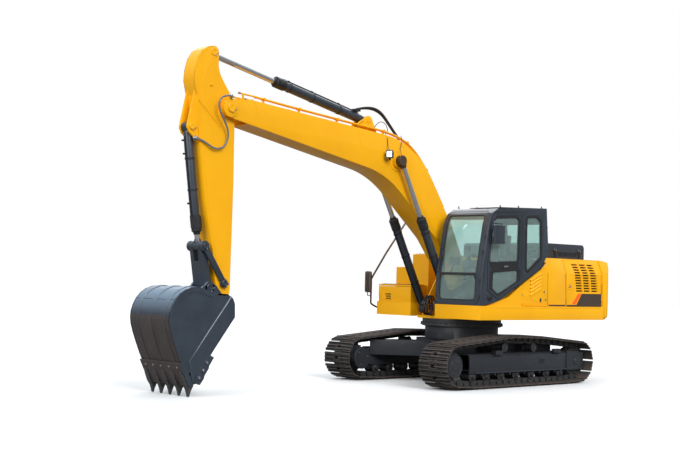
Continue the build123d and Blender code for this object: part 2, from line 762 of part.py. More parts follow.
# Boom, arm and bucket, drawn about their own middle plane


def rise(low, high, share):
    """The height at a share of the way up from one (x, z) pin to another."""
    return low[1] + (high[1] - low[1]) * share


BOOM_SIDE = (
    # x, z, bend radius
    (5330, 4348, 30), (4870, 4362, 400), (1424, 4054, 1500), (480, 2710, 700), (38, 1850, 20),
    (120, 1700, 20), (285, 1760, 20), (870, 2468, 700), (2076, 3469, 1700), (5330, 4064, 30),
)
ARM_SIDE = (
    # x, z, bend radius
    (ARM_TOP[0] - 85, ARM_TOP[1] + 45, 30), (ARM_TOP[0] + 80, ARM_TOP[1] + 70, 40),
    (5862, rise(BUCKET_CYLINDER_FOOT, ARM_TOP, 0.837), 120),
    (5903, rise(BUCKET_CYLINDER_FOOT, ARM_TOP, 0.581), 200), (5845, 3930, 400),
    (5665, 2790, 600), (5500, 2010, 200), (5415, 1400, 30), (5245, 1260, 30), (5180, 1500, 100),
    (5172, 3100, 900), (5188, 4100, 120), (5262, rise(BOOM_TIP, ARM_TOP, 0.238), 120),
    (5462, rise(BOOM_TIP, ARM_TOP, 0.563), 60), (5508, rise(BOOM_TIP, ARM_TOP, 0.684), 60),
)
BUCKET_BACK = (
    # x, z, bend radius
    (5470, 1462, 50), (5800, 1462, 300), (6130, 1590, 240), (6420, 1500, 180), (6540, 1180, 200),
    (6223, 480, 600),
)
BUCKET_LIP_TOP = (5384, 1396)
BUCKET_LIP = (6069, 172)
BUCKET_MOUTH = ((6003, 188), (5742, 613), (5344, 1129), (5351, 1323))
BUCKET_PLATE = 22
TOOTH_SIDE = ((6255, 470), (6124, 150), (6024, 150), (6050, 250), (6195, 470))
TOOTH_POINT = ((6124, 150), (6094, 6), (6080, 6), (6028, 150))
TEETH_Y = (-440, -220, 0, 220, 440)


def bent_outline(corners, bosses=()):
    """A filled side outline of (x, z, bend radius) corners, with round bosses joined to it."""
    with BuildSketch(SIDE_PLANE) as shape:
        with BuildLine():
            FilletPolyline(
                *[(x, z) for x, z, _ in corners], radius=[bend for _, _, bend in corners], close=True
            )
        make_face()
        for x, z, radius in bosses:
            with Locations((x, z)):
                Circle(radius)
    return shape.sketch


ARM_EYE = 82
BUCKET_EYE = 76
LINK_EYE = 58
BOOM_BOSSES = (
    # pin, radius, inner and outer place beside the boom's middle
    (BOOM_TIP, 140, ARM_HALF + CHEEK_GAP, BOOM_HALF + 18),
    (BOOM_CYLINDER_HEAD, 115, BOOM_HALF - 20, BOOM_EYE_INNER - RUN),
)


def make_boom():
    side = bent_outline(BOOM_SIDE, (BOOM_FOOT + (130,), BOOM_TIP + (142,)))
    lug = outline(((2190, 4090), (2690, 4130), (2480, 4390), (2350, 4390)), (ARM_CYLINDER_FOOT + (75,),))
    plate = 20
    with BuildPart() as boom:
        across(side, -BOOM_HALF, BOOM_HALF)
        across(offset(side, amount=-18), plate - BOOM_HALF, BOOM_HALF - plate, Mode.SUBTRACT)
        pin(BOOM_TIP, FORK_RADIUS, plate - BOOM_HALF, BOOM_HALF - plate, Mode.SUBTRACT)
        pin(BOOM_FOOT, 130, RUN - UPRIGHT_INNER, UPRIGHT_INNER - RUN)
        pin(BOOM_FOOT, FOOT_PIN + RUN, -UPRIGHT_INNER, UPRIGHT_INNER, Mode.SUBTRACT)
        for centre, radius, inner, outer in BOOM_BOSSES:
            pin(centre, radius, inner, outer)
            pin(centre, radius, -outer, -inner)
        pin(BOOM_TIP, TIP_PIN + RUN, -BOOM_HALF - 30, BOOM_HALF + 30, Mode.SUBTRACT)
        both_sides(lug, ARM_EYE + RUN, ARM_EYE + 30)
        pin(ARM_CYLINDER_FOOT, 40, -ARM_EYE - 38, ARM_EYE + 38)
    save("boom", boom.part, ATTACHMENT)


LAMP_CORNER = (BOOM_CYLINDER_HEAD[0] + 225, BOOM_CYLINDER_HEAD[1] + 29)
LAMP_SIZE = (90, 80, 115)


def make_boom_lamp():
    x, z = LAMP_CORNER
    width, depth, height = LAMP_SIZE
    with BuildPart() as lamp:
        block((x + 10, BOOM_HALF, z - 35), (x + 40, BOOM_HALF + 70, z + 5))
        block((x, BOOM_HALF + 45, z), (x + width, BOOM_HALF + 45 + depth, z + height))
    save("boom_lamp", lamp.part, ATTACHMENT)


ARM_BOSSES = (
    # pin, radius, half width
    (BOOM_TIP, 120, ARM_HALF + CHEEK_GAP - RUN),
    (BOOM_TIP, TIP_PIN, BOOM_HALF + 26),
    (BUCKET_PIN, 98, ARM_HALF + CHEEK_GAP - RUN),
    (BUCKET_PIN, BUCKET_PIN_RADIUS, ARM_HALF + CHEEK_GAP + CHEEK + 10),
    (IDLER_PIN, 64, ARM_HALF + CHEEK_GAP - RUN),
    (IDLER_PIN, IDLER_PIN_RADIUS, ARM_HALF + CHEEK_GAP + CHEEK + 8),
    (BUCKET_CYLINDER_FOOT, 36, BUCKET_EYE + 42),
)


def make_arm():
    side = bent_outline(ARM_SIDE, (BOOM_TIP + (142,), ARM_TOP + (86,), BUCKET_PIN + (105,)))
    ear = outline(
        ((5860, 4480), (5890, 4480), (6012, 3900), (5985, 3800), (5800, 3640), (5780, 3700)),
        (BUCKET_CYLINDER_FOOT + (78,),),
    )
    plate = 18
    with BuildPart() as arm:
        across(side, -ARM_HALF, ARM_HALF)
        across(offset(side, amount=-18), plate - ARM_HALF, ARM_HALF - plate, Mode.SUBTRACT)
        pin(ARM_TOP, 210, plate - ARM_HALF, ARM_HALF - plate, Mode.SUBTRACT)
        for centre, radius, half in ARM_BOSSES:
            pin(centre, radius, -half, half)
        for side in LEFT_RIGHT:
            low, high = sorted((side * (ARM_EYE + RUN), side * (ARM_HALF - plate)))
            pin(ARM_TOP, 70, low, high)
        both_sides(ear, BUCKET_EYE + RUN, BUCKET_EYE + 34)
    save("arm", arm.part, ATTACHMENT)


def make_bucket():
    shell = BUCKET_BACK + ((BUCKET_LIP + (5,)),)
    lip = tuple((x, z, 5) for x, z in BUCKET_MOUTH + (BUCKET_LIP_TOP,))
    side = bent_outline(shell + lip)
    with BuildPart() as hollow:
        across(offset(side, amount=-BUCKET_PLATE), BUCKET_PLATE - BUCKET_HALF, BUCKET_HALF - BUCKET_PLATE)
        mouth = outline(((5410, 1400), (5150, 1400), (5150, 600), (5900, 0), (6000, 240), (5800, 900)))
        across(mouth, BUCKET_PLATE - BUCKET_HALF, BUCKET_HALF - BUCKET_PLATE)
    cutter = outline(BUCKET_MOUTH + (BUCKET_LIP_TOP, (5425, 1435), (6137, 504), (6060, 190)))
    ear = outline(
        ((5290, 1200), (5440, 1330), (5500, 1450), (5800, 1462), (5690, 1570), (5480, 1600), (5250, 1340)),
        (BUCKET_PIN + (98,), BUCKET_LINK_PIN + (84,)),
    )
    with BuildPart() as bucket:
        across(side, -BUCKET_HALF, BUCKET_HALF)
        add(hollow.part, mode=Mode.SUBTRACT)
        both_sides(cutter, BUCKET_HALF, BUCKET_HALF + 14)
        pin(BUCKET_PIN, 205, -ARM_HALF - 7, ARM_HALF + 7, Mode.SUBTRACT)
        both_sides(ear, ARM_HALF + CHEEK_GAP, ARM_HALF + CHEEK_GAP + CHEEK)
        pin(BUCKET_PIN, BUCKET_PIN_RADIUS + RUN, -BUCKET_HALF, BUCKET_HALF, Mode.SUBTRACT)
        for y in TEETH_Y:
            across(outline(TOOTH_SIDE), y - 42, y + 42)
    save("bucket", bucket.part, ATTACHMENT)
    with BuildPart() as teeth:
        for y in TEETH_Y:
            across(outline(TOOTH_POINT), y - 36, y + 36)
    save("bucket_teeth", teeth.part, ATTACHMENT)


LINK_SLOT = 220
LINK_BOSSES = (
    # pin, radius, half width
    (LINK_PIN, 70, ARM_HALF + CHEEK_GAP - RUN),
    (LINK_PIN, LINK_PIN_RADIUS, ARM_HALF + CHEEK_GAP + CHEEK + 6),
    (BUCKET_LINK_PIN, 52, ARM_HALF + CHEEK_GAP - RUN),
)


def make_links():
    with BuildPart() as idlers:
        arm = outline(bar_corners(IDLER_PIN, LINK_PIN, 46), (IDLER_PIN + (66,), LINK_PIN + (78,)))
        both_sides(arm, ARM_HALF + CHEEK_GAP, ARM_HALF + CHEEK_GAP + CHEEK)
        for centre, radius in ((IDLER_PIN, IDLER_PIN_RADIUS), (LINK_PIN, LINK_PIN_RADIUS)):
            pin(centre, radius + RUN, -BUCKET_HALF, BUCKET_HALF, Mode.SUBTRACT)
    save("idler_links", idlers.part, ATTACHMENT)
    body = outline(
        bar_corners(LINK_PIN, BUCKET_LINK_PIN, 56), (LINK_PIN + (74,), BUCKET_LINK_PIN + (54,))
    )
    with BuildPart() as link:
        across(body, -ARM_HALF, ARM_HALF)
        for centre, radius, half in LINK_BOSSES:
            pin(centre, radius, -half, half)
        pin(LINK_PIN, LINK_SLOT, -LINK_EYE, LINK_EYE, Mode.SUBTRACT)
    save("bucket_link", link.part, ATTACHMENT)


def bar_corners(start, end, half_width):
    """The four corners of a straight flat bar between two (x, z) points."""
    length = span(start, end)
    across_x = -(end[1] - start[1]) / length * half_width
    across_z = (end[0] - start[0]) / length * half_width
    return (
        (start[0] + across_x, start[1] + across_z),
        (end[0] + across_x, end[1] + across_z),
        (end[0] - across_x, end[1] - across_z),
        (start[0] - across_x, start[1] - across_z),
    )


def along(start, end, middle_y, distance):
    """A place on the line from start to end whose Z axis runs along that line."""
    line = Plane(origin=(start[0], middle_y, start[1]), z_dir=(end[0] - start[0], 0, end[1] - start[1]))
    return line.location * Location((0, 0, distance))


CYLINDERS = (
    # name, foot, head, foot pin, foot eye, half foot eye, head eye, half head eye, places across
    ("boom", BOOM_CYLINDER_FOOT, BOOM_CYLINDER_HEAD, 42, 88, BOOM_EYE, 88, BOOM_EYE, (1, -1)),
    ("arm", ARM_CYLINDER_FOOT, ARM_TOP, 40, 74, ARM_EYE, 74, ARM_EYE, (0,)),
    ("bucket", BUCKET_CYLINDER_FOOT, LINK_PIN, 36, 70, BUCKET_EYE, 70, LINK_EYE - RUN, (0,)),
)
BARRELS = {
    # barrel length from its pin, how far the rod reaches into it, tube radius, rod radius
    "boom": (1726, 670, 68, 43),
    "arm": (1962, 666, 74, 48),
    "bucket": (1539, 1243, 62, 40),
}
GLAND_LENGTH = 190
GLAND_PROUD = 14
BARREL_WALL = 13
BORE_START = 150
PISTON = 70


def make_cylinders():
    for name, foot, head, foot_pin, foot_eye, foot_half, head_eye, head_half, places in CYLINDERS:
        barrel, reach, tube, shaft = BARRELS[name]
        rod = span(foot, head) - barrel + reach
        bore = tube - BARREL_WALL
        with BuildPart() as tubes:
            for y in [place * BOOM_CYLINDER_Y for place in places]:
                start = foot_eye - 6
                with Locations(along(foot, head, y, (start + barrel) / 2)):
                    Cylinder(tube, barrel - start)
                with Locations(along(foot, head, y, barrel - GLAND_LENGTH / 2)):
                    Cylinder(tube + GLAND_PROUD, GLAND_LENGTH)
                pin(foot, foot_eye, y - foot_half, y + foot_half)
                pin(foot, foot_pin + RUN, y - foot_half, y + foot_half, Mode.SUBTRACT)
                with Locations(along(foot, head, y, (BORE_START + barrel - GLAND_LENGTH) / 2)):
                    Cylinder(bore, barrel - GLAND_LENGTH - BORE_START, mode=Mode.SUBTRACT)
                with Locations(along(foot, head, y, barrel - GLAND_LENGTH / 2)):
                    Cylinder(shaft + RUN, GLAND_LENGTH + 2, mode=Mode.SUBTRACT)
        save(name + "_cylinder_barrel", tubes.part, ATTACHMENT)
        with BuildPart() as rods:
            for y in [place * BOOM_CYLINDER_Y for place in places]:
                with Locations(along(head, foot, y, rod / 2)):
                    Cylinder(shaft, rod)
                with Locations(along(head, foot, y, rod - PISTON / 2)):
                    Cylinder(bore - RUN, PISTON)
                pin(head, head_eye, y - head_half, y + head_half)
        save(name + "_cylinder_rod", rods.part, ATTACHMENT)


os.makedirs("parts", exist_ok=True)
make_center_frame()
make_slew_ring()
make_track_frames()
make_tracks()
make_sprockets()
make_idlers()
make_final_drives()
make_rollers("bottom_rollers", BOTTOM_ROLLERS_X, ROLLER_RADIUS, RAIL_DEPTH + RUN + ROLLER_RADIUS, -132, 137)
make_rollers("carrier_rollers", CARRIER_ROLLERS_X, CARRIER_RADIUS, CARRIER_Z, -BRACKET, ROLLER_WIDTH / 2)
make_swing_frame()
make_counterweight()
make_body_panels()
make_front_panel()
make_left_front_door()
make_left_rear_door()
make_right_rear_door()
make_engine_hood()
make_engine_block()
make_radiator()
make_pumps()
make_right_tanks()
make_tool_box()
make_valves()
make_swing_motor()
make_cab()
make_cab_glass()
make_cab_door()
make_seat()
make_console()
make_mirrors()
make_handrails()
make_boom()
make_boom_lamp()
make_arm()
make_bucket()
make_links()
make_cylinders()
print(len(PIECES), "pieces")
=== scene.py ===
"""The looks of the crawler excavator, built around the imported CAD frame.

Places are in millimetres in the row frame: X forward, Y to the operator's left, Z up.
UNDER and ARMS are the two groups with a frame of their own, as in the part's source.
"""

from math import cos, pi, radians, sin, tan

import bmesh
import bpy
from mathutils import Matrix, Vector


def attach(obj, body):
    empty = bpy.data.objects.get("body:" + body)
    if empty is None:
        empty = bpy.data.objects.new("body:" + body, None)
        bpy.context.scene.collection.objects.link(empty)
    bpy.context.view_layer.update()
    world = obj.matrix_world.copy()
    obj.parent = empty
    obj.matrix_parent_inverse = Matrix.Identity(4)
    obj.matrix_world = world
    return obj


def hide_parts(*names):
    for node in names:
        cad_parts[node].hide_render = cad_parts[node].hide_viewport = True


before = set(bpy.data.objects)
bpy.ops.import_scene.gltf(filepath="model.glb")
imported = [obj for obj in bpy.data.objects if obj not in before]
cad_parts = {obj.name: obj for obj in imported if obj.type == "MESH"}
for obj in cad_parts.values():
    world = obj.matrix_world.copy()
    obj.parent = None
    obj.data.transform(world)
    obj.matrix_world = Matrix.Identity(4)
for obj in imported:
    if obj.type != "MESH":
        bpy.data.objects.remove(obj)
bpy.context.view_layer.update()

MM = 0.001
PIPE_RADIUS = 10
HOUSE = Matrix.Identity(4)
UNDER = Matrix.Rotation(radians(1.9), 4, "Z")
ARMS = Matrix.Translation((0, -80 * MM, 0))
SIDES = (1, -1)

# Undercarriage
GAUGE = 2190
SHOE_COUNT = 49
GROUSER = 26
PLATE = 12
RAIL = 88
TRACK_TOP = 815
WHEELS = (
    # x, z, radius of the loop's outline
    (1640, 388, 360), (-1650, 383, 362), (275, 650, 212), (-516, 632, 212),
    (1200, 260, 260), (-1330, 260, 260),
)
SPROCKET = (1640, 388)
IDLER = (-1650, 383)
SHOE_HALF = 300
MUD_HOLE_HALF = 38
BOTTOM_ROLLERS = (1110, 760, 370, -30, -450, -880, -1270)
CARRIER_ROLLERS = (
    # x, z, radius
    (275, 656, 79), (-516, 640, 77),
)
ROLLER_Z = 202

# House
DECK_BOTTOM, DECK_SIDE = 1115, 1350
PANEL_SIDE, SHOULDER_Z, HOOD_Z, HOOD_TOP = 1310, 1930, 2186, 2460
CAB_INNER_Y, CAB_OUTER_Y = 338, 1345
HOOD_SIDE = 900
TAIL_CORNER_X = -2290
LIFTING_X, LIFTING_Y = -2640, 550
TANK_COVER = (-900, -860)
SEAT_Y = 840
CAB_BOLTS_Z = (2300, 2700)

# Boom, arm and bucket pins, as (x, z)
BOOM_FOOT, BOOM_TIP = (160, 1806), (5330, 4208)
BOOM_CYLINDER_FOOT, BOOM_CYLINDER_HEAD = (545, 1252), (1845, 3706)
ARM_CYLINDER_FOOT, ARM_TOP = (2411, 4335), (5600, 5015)
BUCKET_CYLINDER_FOOT, BUCKET_PIN = (5937, 3882), (5334, 1280)
IDLER_PIN, LINK_PIN, BUCKET_LINK_PIN = (5317, 1617), (5681, 2150), (5578, 1550)
BOOM_HALF, ARM_HALF, BUCKET_HALF = 225, 140, 492
BOOM_CYLINDER_Y = 328


# Materials


class Nodes:
    """A short way to build the node tree of a material or of the world."""

    def __init__(self, owner):
        self.owner = owner
        owner.use_nodes = True
        self.tree = owner.node_tree
        self.shader = self.tree.nodes.get("Principled BSDF")
        self.coordinates = self.add("ShaderNodeTexCoord").outputs
        self.place = self.coordinates["Object"]

    def add(self, kind, **settings):
        node = self.tree.nodes.new(kind)
        for key, value in settings.items():
            setattr(node, key, value)
        return node

    def join(self, source, target):
        self.tree.links.new(source, target)

    def maths(self, operation, *values):
        node = self.add("ShaderNodeMath", operation=operation)
        for value, socket in zip(values, node.inputs):
            self.join(value, socket)
        return node.outputs[0]

    def xyz(self, vector):
        node = self.add("ShaderNodeSeparateXYZ")
        self.join(vector, node.inputs[0])
        return node.outputs

    def noise(self, scale, detail=4, rough=0.55, stretch=(1, 1, 1)):
        mapping = self.add("ShaderNodeMapping")
        mapping.inputs["Scale"].default_value = stretch
        self.join(self.place, mapping.inputs["Vector"])
        texture = self.add("ShaderNodeTexNoise")
        for key, value in (("Scale", scale), ("Detail", detail), ("Roughness", rough)):
            texture.inputs[key].default_value = value
        self.join(mapping.outputs[0], texture.inputs["Vector"])
        return texture.outputs["Fac"]

    def ramp(self, value, low, high, first=0.0, last=1.0):
        """Maps a value from low..high to first..last."""
        node = self.add("ShaderNodeMapRange")
        for key, number in (("From Min", low), ("From Max", high), ("To Min", first), ("To Max", last)):
            node.inputs[key].default_value = number
        self.join(value, node.inputs["Value"])
        return node.outputs[0]

    def mix(self, factor, first, second):
        """Mixes two colours or colour sockets by a factor socket."""
        node = self.add("ShaderNodeMix", data_type="RGBA")
        self.join(factor, node.inputs["Factor"])
        for socket, value in ((node.inputs[6], first), (node.inputs[7], second)):
            if isinstance(value, tuple):
                socket.default_value = (*value, 1)
            else:
                self.join(value, socket)
        return node.outputs[2]

    def edges(self, low, high):
        """1 on outer edges and 0 elsewhere."""
        node = self.add("ShaderNodeNewGeometry")
        return self.ramp(node.outputs["Pointiness"], low, high)

    def bump(self, height, strength, distance=0.002):
        node = self.add("ShaderNodeBump")
        node.inputs["Strength"].default_value = strength
        node.inputs["Distance"].default_value = distance
        self.join(height, node.inputs["Height"])
        self.join(node.outputs[0], self.shader.inputs["Normal"])

    def set(self, **values):
        for key, value in values.items():
            self.shader.inputs[key.replace("_", " ")].default_value = value

    def finish(self, colour, grain=None, low=0.0, high=1.0, **values):
        """Feeds the base colour, and a roughness from low to high by a noise, and gives the material."""
        self.join(colour, self.shader.inputs["Base Color"])
        if grain is not None:
            self.join(self.ramp(grain, 0.3, 0.7, low, high), self.shader.inputs["Roughness"])
        self.set(**values)
        return self.owner


def new_material(name):
    return Nodes(bpy.data.materials.new(name))


def paint(name, colour, shade, roughness=0.38, coat=0.25, dust=None, gloss=0.5):
    """Sprayed paint: a faint change of tone, a fine orange-peel bump and, if asked, settled dust."""
    m = new_material(name)
    tone = m.mix(m.ramp(m.noise(1.3, 3), 0.35, 0.7), colour, shade)
    if dust:
        tone = m.mix(m.ramp(m.noise(9, 6, 0.7), 0.52, 0.78, 0, 0.55), tone, dust)
    m.bump(m.noise(420, 2), 0.05, 0.0005)
    return m.finish(tone, m.noise(14, 5), roughness - 0.05, roughness + 0.07,
                    Coat_Weight=coat, Coat_Roughness=0.12, Specular_IOR_Level=gloss)


def rubber(name, colour, roughness=0.6):
    m = new_material(name)
    tone = m.mix(m.ramp(m.noise(30, 4), 0.35, 0.7), colour, tuple(c * 1.5 for c in colour))
    m.bump(m.noise(700, 2), 0.15, 0.0005)
    return m.finish(tone, m.noise(60, 4), roughness - 0.08, roughness + 0.1)


def bare_metal(name, colour, worn, roughness, grain=(1, 1, 1), metallic=1.0):
    m = new_material(name)
    tone = m.mix(m.ramp(m.noise(24, 5, 0.6, grain), 0.4, 0.68), colour, worn)
    m.bump(m.noise(350, 3, 0.6, grain), 0.08, 0.0005)
    return m.finish(tone, m.noise(90, 4, 0.6, grain), roughness * 0.7, roughness * 1.4, Metallic=metallic)


def track_steel():
    """Brown-black cast shoes, rubbed lighter and rusty on the grousers' edges."""
    m = new_material("track_steel")
    base = m.mix(m.ramp(m.noise(7, 6, 0.65), 0.38, 0.68), (0.017, 0.018, 0.021), (0.040, 0.040, 0.043))
    rust = m.mix(m.ramp(m.noise(34, 5, 0.7), 0.5, 0.72), (0.15, 0.12, 0.10), (0.17, 0.085, 0.045))
    m.bump(m.noise(130, 6, 0.7), 0.3, 0.002)
    return m.finish(m.mix(m.edges(0.53, 0.62), base, rust), m.noise(40, 5), 0.42, 0.75, Metallic=0.35)


def bucket_paint():
    """Dark blue-grey paint with a painted highlight on upward faces, rubbed brown by the soil on the lower
    half of the shell.
    """
    m = new_material("bucket_paint")
    facing = m.xyz(m.coordinates["Normal"])
    side = m.ramp(m.maths("ABSOLUTE", facing[1]), 0.3, 0.7, 1, 0)
    rubbed = m.maths("MULTIPLY", side, m.ramp(m.xyz(m.place)[2], 1.13, 1.17, 1, 0))
    plain = m.mix(m.ramp(m.noise(3, 5, 0.6), 0.35, 0.7), (0.030, 0.042, 0.060), (0.020, 0.028, 0.040))
    # Painted highlight: faces turned upwards are lightened towards pale blue, standing in for light from
    # above.
    painted_top_highlight = m.mix(m.ramp(facing[2], 0.15, 0.8), plain, (0.13, 0.19, 0.26))
    streaks = m.ramp(m.noise(6, 6, 0.7, (1, 1, 0.3)), 0.35, 0.7)
    soil = m.mix(streaks, (0.036, 0.027, 0.028), (0.062, 0.048, 0.046))
    m.bump(m.noise(60, 5, 0.6), 0.1, 0.001)
    return m.finish(m.mix(rubbed, painted_top_highlight, soil), m.noise(20, 5), 0.3, 0.46,
                    Coat_Weight=0.15, Coat_Roughness=0.2)


def glass():
    m = new_material("tinted_glass")
    tint = m.mix(m.ramp(m.noise(1.1, 2), 0.3, 0.7), (0.70, 0.89, 0.86), (0.62, 0.84, 0.80))
    return m.finish(tint, m.noise(5, 3), 0.01, 0.03, Transmission_Weight=0.88, IOR=1.45)


def lens():
    m = new_material("lamp_lens")
    return m.finish(m.mix(m.noise(80, 2), (0.85, 0.88, 0.9), (0.7, 0.74, 0.78)),
                    Roughness=0.08, Coat_Weight=0.6, Metallic=0.5)


def cloth():
    m = new_material("seat_cloth")
    weave = m.add("ShaderNodeTexBrick")
    weave.inputs["Scale"].default_value = 160
    m.join(m.place, weave.inputs["Vector"])
    m.bump(weave.outputs["Fac"], 0.4, 0.001)
    return m.finish(m.mix(m.noise(22, 4), (0.035, 0.037, 0.042), (0.07, 0.073, 0.08)),
                    Roughness=0.9, Sheen_Weight=0.25)


YELLOW = paint("yellow_paint", (0.92, 0.435, 0.002), (0.87, 0.395, 0.002), 0.36, 0.1, gloss=0.28)
SLATE = paint("slate_paint", (0.026, 0.036, 0.050), (0.017, 0.024, 0.034), 0.36, 0.3)
FRAME_DARK = paint(
    "frame_paint", (0.022, 0.026, 0.033), (0.014, 0.016, 0.020), 0.5, 0.08, (0.05, 0.045, 0.04))
BLACK = paint("black_paint", (0.010, 0.011, 0.014), (0.006, 0.007, 0.009), 0.45, 0.1)
HOOD_DARK = paint("hood_paint", (0.028, 0.036, 0.050), (0.018, 0.024, 0.034), 0.5, 0.08)
STRIPE = paint("stripe_film", (0.055, 0.034, 0.022), (0.045, 0.028, 0.018), 0.35, 0.2)
ORANGE = paint("orange_film", (0.95, 0.13, 0.006), (0.9, 0.12, 0.006), 0.35, 0.2)
RUBBER = rubber("rubber_seal", (0.008, 0.008, 0.009))
HOSE = rubber("hose_rubber", (0.012, 0.012, 0.014), 0.5)
PLASTIC = rubber("moulded_plastic", (0.012, 0.012, 0.014), 0.55)
GREY_PLASTIC = rubber("grey_plastic", (0.055, 0.06, 0.065), 0.55)
CHROME = bare_metal("rod_chrome", (0.72, 0.72, 0.73), (0.62, 0.62, 0.63), 0.14, (1, 1, 0.2))
STEEL = bare_metal("bright_steel", (0.5, 0.5, 0.51), (0.36, 0.36, 0.37), 0.3)
DULL = bare_metal("dull_steel", (0.05, 0.052, 0.056), (0.10, 0.095, 0.09), 0.5, metallic=0.6)
WORN = bare_metal("worn_edge_steel", (0.09, 0.095, 0.105), (0.16, 0.15, 0.14), 0.42, metallic=0.7)
ENGINE = bare_metal("engine_metal", (0.16, 0.165, 0.17), (0.10, 0.10, 0.105), 0.5, metallic=0.5)
RAIL_BROWN = paint("rail_paint", (0.06, 0.035, 0.02), (0.04, 0.025, 0.016), 0.4, 0.2)
# Dark orange-brown: painted shade for the sheets behind the grille slots.
GRILLE_PAINTED_SHADE = paint("painted_shade_sheet", (0.05, 0.022, 0.006), (0.02, 0.012, 0.006), 0.6, 0.0)
BROWN = paint("aged_primer", (0.075, 0.04, 0.018), (0.03, 0.018, 0.01), 0.55, 0.05, (0.12, 0.06, 0.03))
HOSE_GREY = rubber("grey_hose", (0.12, 0.125, 0.13), 0.5)
MIRROR = bare_metal("mirror_glass", (0.8, 0.82, 0.84), (0.74, 0.76, 0.78), 0.05)
TRACK = track_steel()
BUCKET = bucket_paint()
GLASS = glass()
LENS = lens()
CLOTH = cloth()


# Shapes


def spokes(count, first=0.0, u=(1, 0, 0), v=(0, 0, 1)):
    """Unit vectors evenly round a circle, from u towards v; first is the first one's share of a step."""
    u, v = Vector(u), Vector(v)
    return [u * cos(a) + v * sin(a) for a in (2 * pi * (k + first) / count for k in range(count))]


def rect(x0, z0, x1, z1, radius=0, steps=4):
    """A rectangle's outline from two of its corners, with its corners rounded if asked."""
    corners = [(x0, z0), (x1, z0), (x1, z1), (x0, z1)]
    return rounded(corners, radius, steps) if radius else corners


def set_down(name, data, material, body, stands_for=(), bevel=0, sharp=32, segments=2):
    """Makes an object of some data: its material, its bevels, its body and the nodes it stands for."""
    thing = bpy.data.objects.new(name, data)
    bpy.context.scene.collection.objects.link(thing)
    data.materials.append(material)
    if bevel:
        cut = thing.modifiers.new("edges", "BEVEL")
        cut.width = bevel * MM
        cut.segments = segments
        cut.limit_method = "ANGLE"
        cut.angle_limit = radians(sharp)
        cut.harden_normals = True
    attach(thing, body)
    if stands_for:
        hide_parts(*stands_for)
    return thing


class Piece:
    """One mesh, gathered from simple solids in millimetres and finished with bevelled edges."""

    def __init__(self, place=HOUSE):
        self.mesh = bmesh.new()
        self.place = place

    def solid(self, rings, ends="capped"):
        """A solid from equal rings of points, joined one to the next; its ends are capped or joined."""
        rows = [[self.mesh.verts.new(Vector(p) * MM) for p in ring] for ring in rings]
        count = len(rows[0])
        pairs = zip(rows, rows[1:] + (rows[:1] if ends == "joined" else []))
        for first, second in pairs:
            for i in range(count):
                j = (i + 1) % count
                self.mesh.faces.new((first[i], first[j], second[j], second[i]))
        if ends == "capped":
            self.mesh.faces.new(list(reversed(rows[0])))
            self.mesh.faces.new(rows[-1])

    def rim(self, outline, inner, outer, place_at, low, high):
        """A flat frame along an outline, from inner to outer beside it and low to high over the face.

        place_at turns an outline's point and a height into a place.
        """
        inside, outside = grown(outline, inner), grown(outline, outer)
        self.solid([[place_at(p, height) for p in line] for line, height in (
            (inside, low), (inside, high), (outside, high), (outside, low))], "joined")

    def layers(self, outline, place_at, steps):
        """A solid through one outline at several heights, grown each time by a distance."""
        self.solid([[place_at(p, height) for p in grown(outline, by)] for height, by in steps])

    def box(self, one, other):
        (a, d), (b, e), (c, f) = (sorted(pair) for pair in zip(one, other))
        self.solid([[(a, b, z), (d, b, z), (d, e, z), (a, e, z)] for z in (c, f)])

    def across(self, points, *ends):
        """A side outline of (x, z) points, as wide as the two values of y."""
        self.solid([[(x, y, z) for x, z in points] for y in sorted(ends)])

    def section(self, points, *ends):
        """A cross-section of (y, z) points, as long as the two values of x."""
        self.solid([[(x, y, z) for y, z in points] for x in ends])

    def turned(self, centre, axis, profile, count=32):
        """A solid of revolution from (distance along axis, radius) points, about a centre."""
        centre, axis = Vector(centre), Vector(axis).normalized()
        side = axis.orthogonal().normalized()
        ways = spokes(count, 0, side, axis.cross(side))
        self.solid([[centre + axis * along + way * radius for way in ways] for along, radius in profile])

    def drum(self, centre, half, radius):
        """An eye's round body across the machine, with small chamfers."""
        ends = ((0, radius - 6), (6, radius), (2 * half - 6, radius), (2 * half, radius - 6))
        self.turned(centre - Vector((0, half, 0)), (0, 1, 0), ends, 40)

    def rod(self, start, end, radius, count=16):
        span = Vector(end) - Vector(start)
        self.turned(start, span, ((0, radius), (span.length, radius)), count)

    def bolt(self, centre, axis, size=12, height=8):
        """A washer and a hexagon head standing on a surface."""
        self.turned(centre, axis, ((-1, size * 1.15), (2, size * 1.15)), 12)
        self.turned(centre, axis, ((2, size * 0.95), (height - 2, size * 0.95), (height, size * 0.75)), 6)

    def bolt_circle(self, centre, axis, radius, count, size, height, first=0.0, v=(0, 0, 1)):
        for way in spokes(count, first, v=v):
            self.bolt(Vector(centre) + way * radius, axis, size, height)

    def done(self, name, material, body, bevel=2.0, sharp=32, stands_for=()):
        """Finishes the piece: sets it in its place, cuts its bevels and makes it ride on a body."""
        bmesh.ops.recalc_face_normals(self.mesh, faces=self.mesh.faces)
        data = bpy.data.meshes.new(name)
        self.mesh.to_mesh(data)
        self.mesh.free()
        data.transform(self.place)
        for polygon in data.polygons:
            polygon.use_smooth = True
        if not bevel:
            data.set_sharp_from_angle(angle=radians(sharp))
        return set_down(name, data, material, body, stands_for, bevel, sharp)


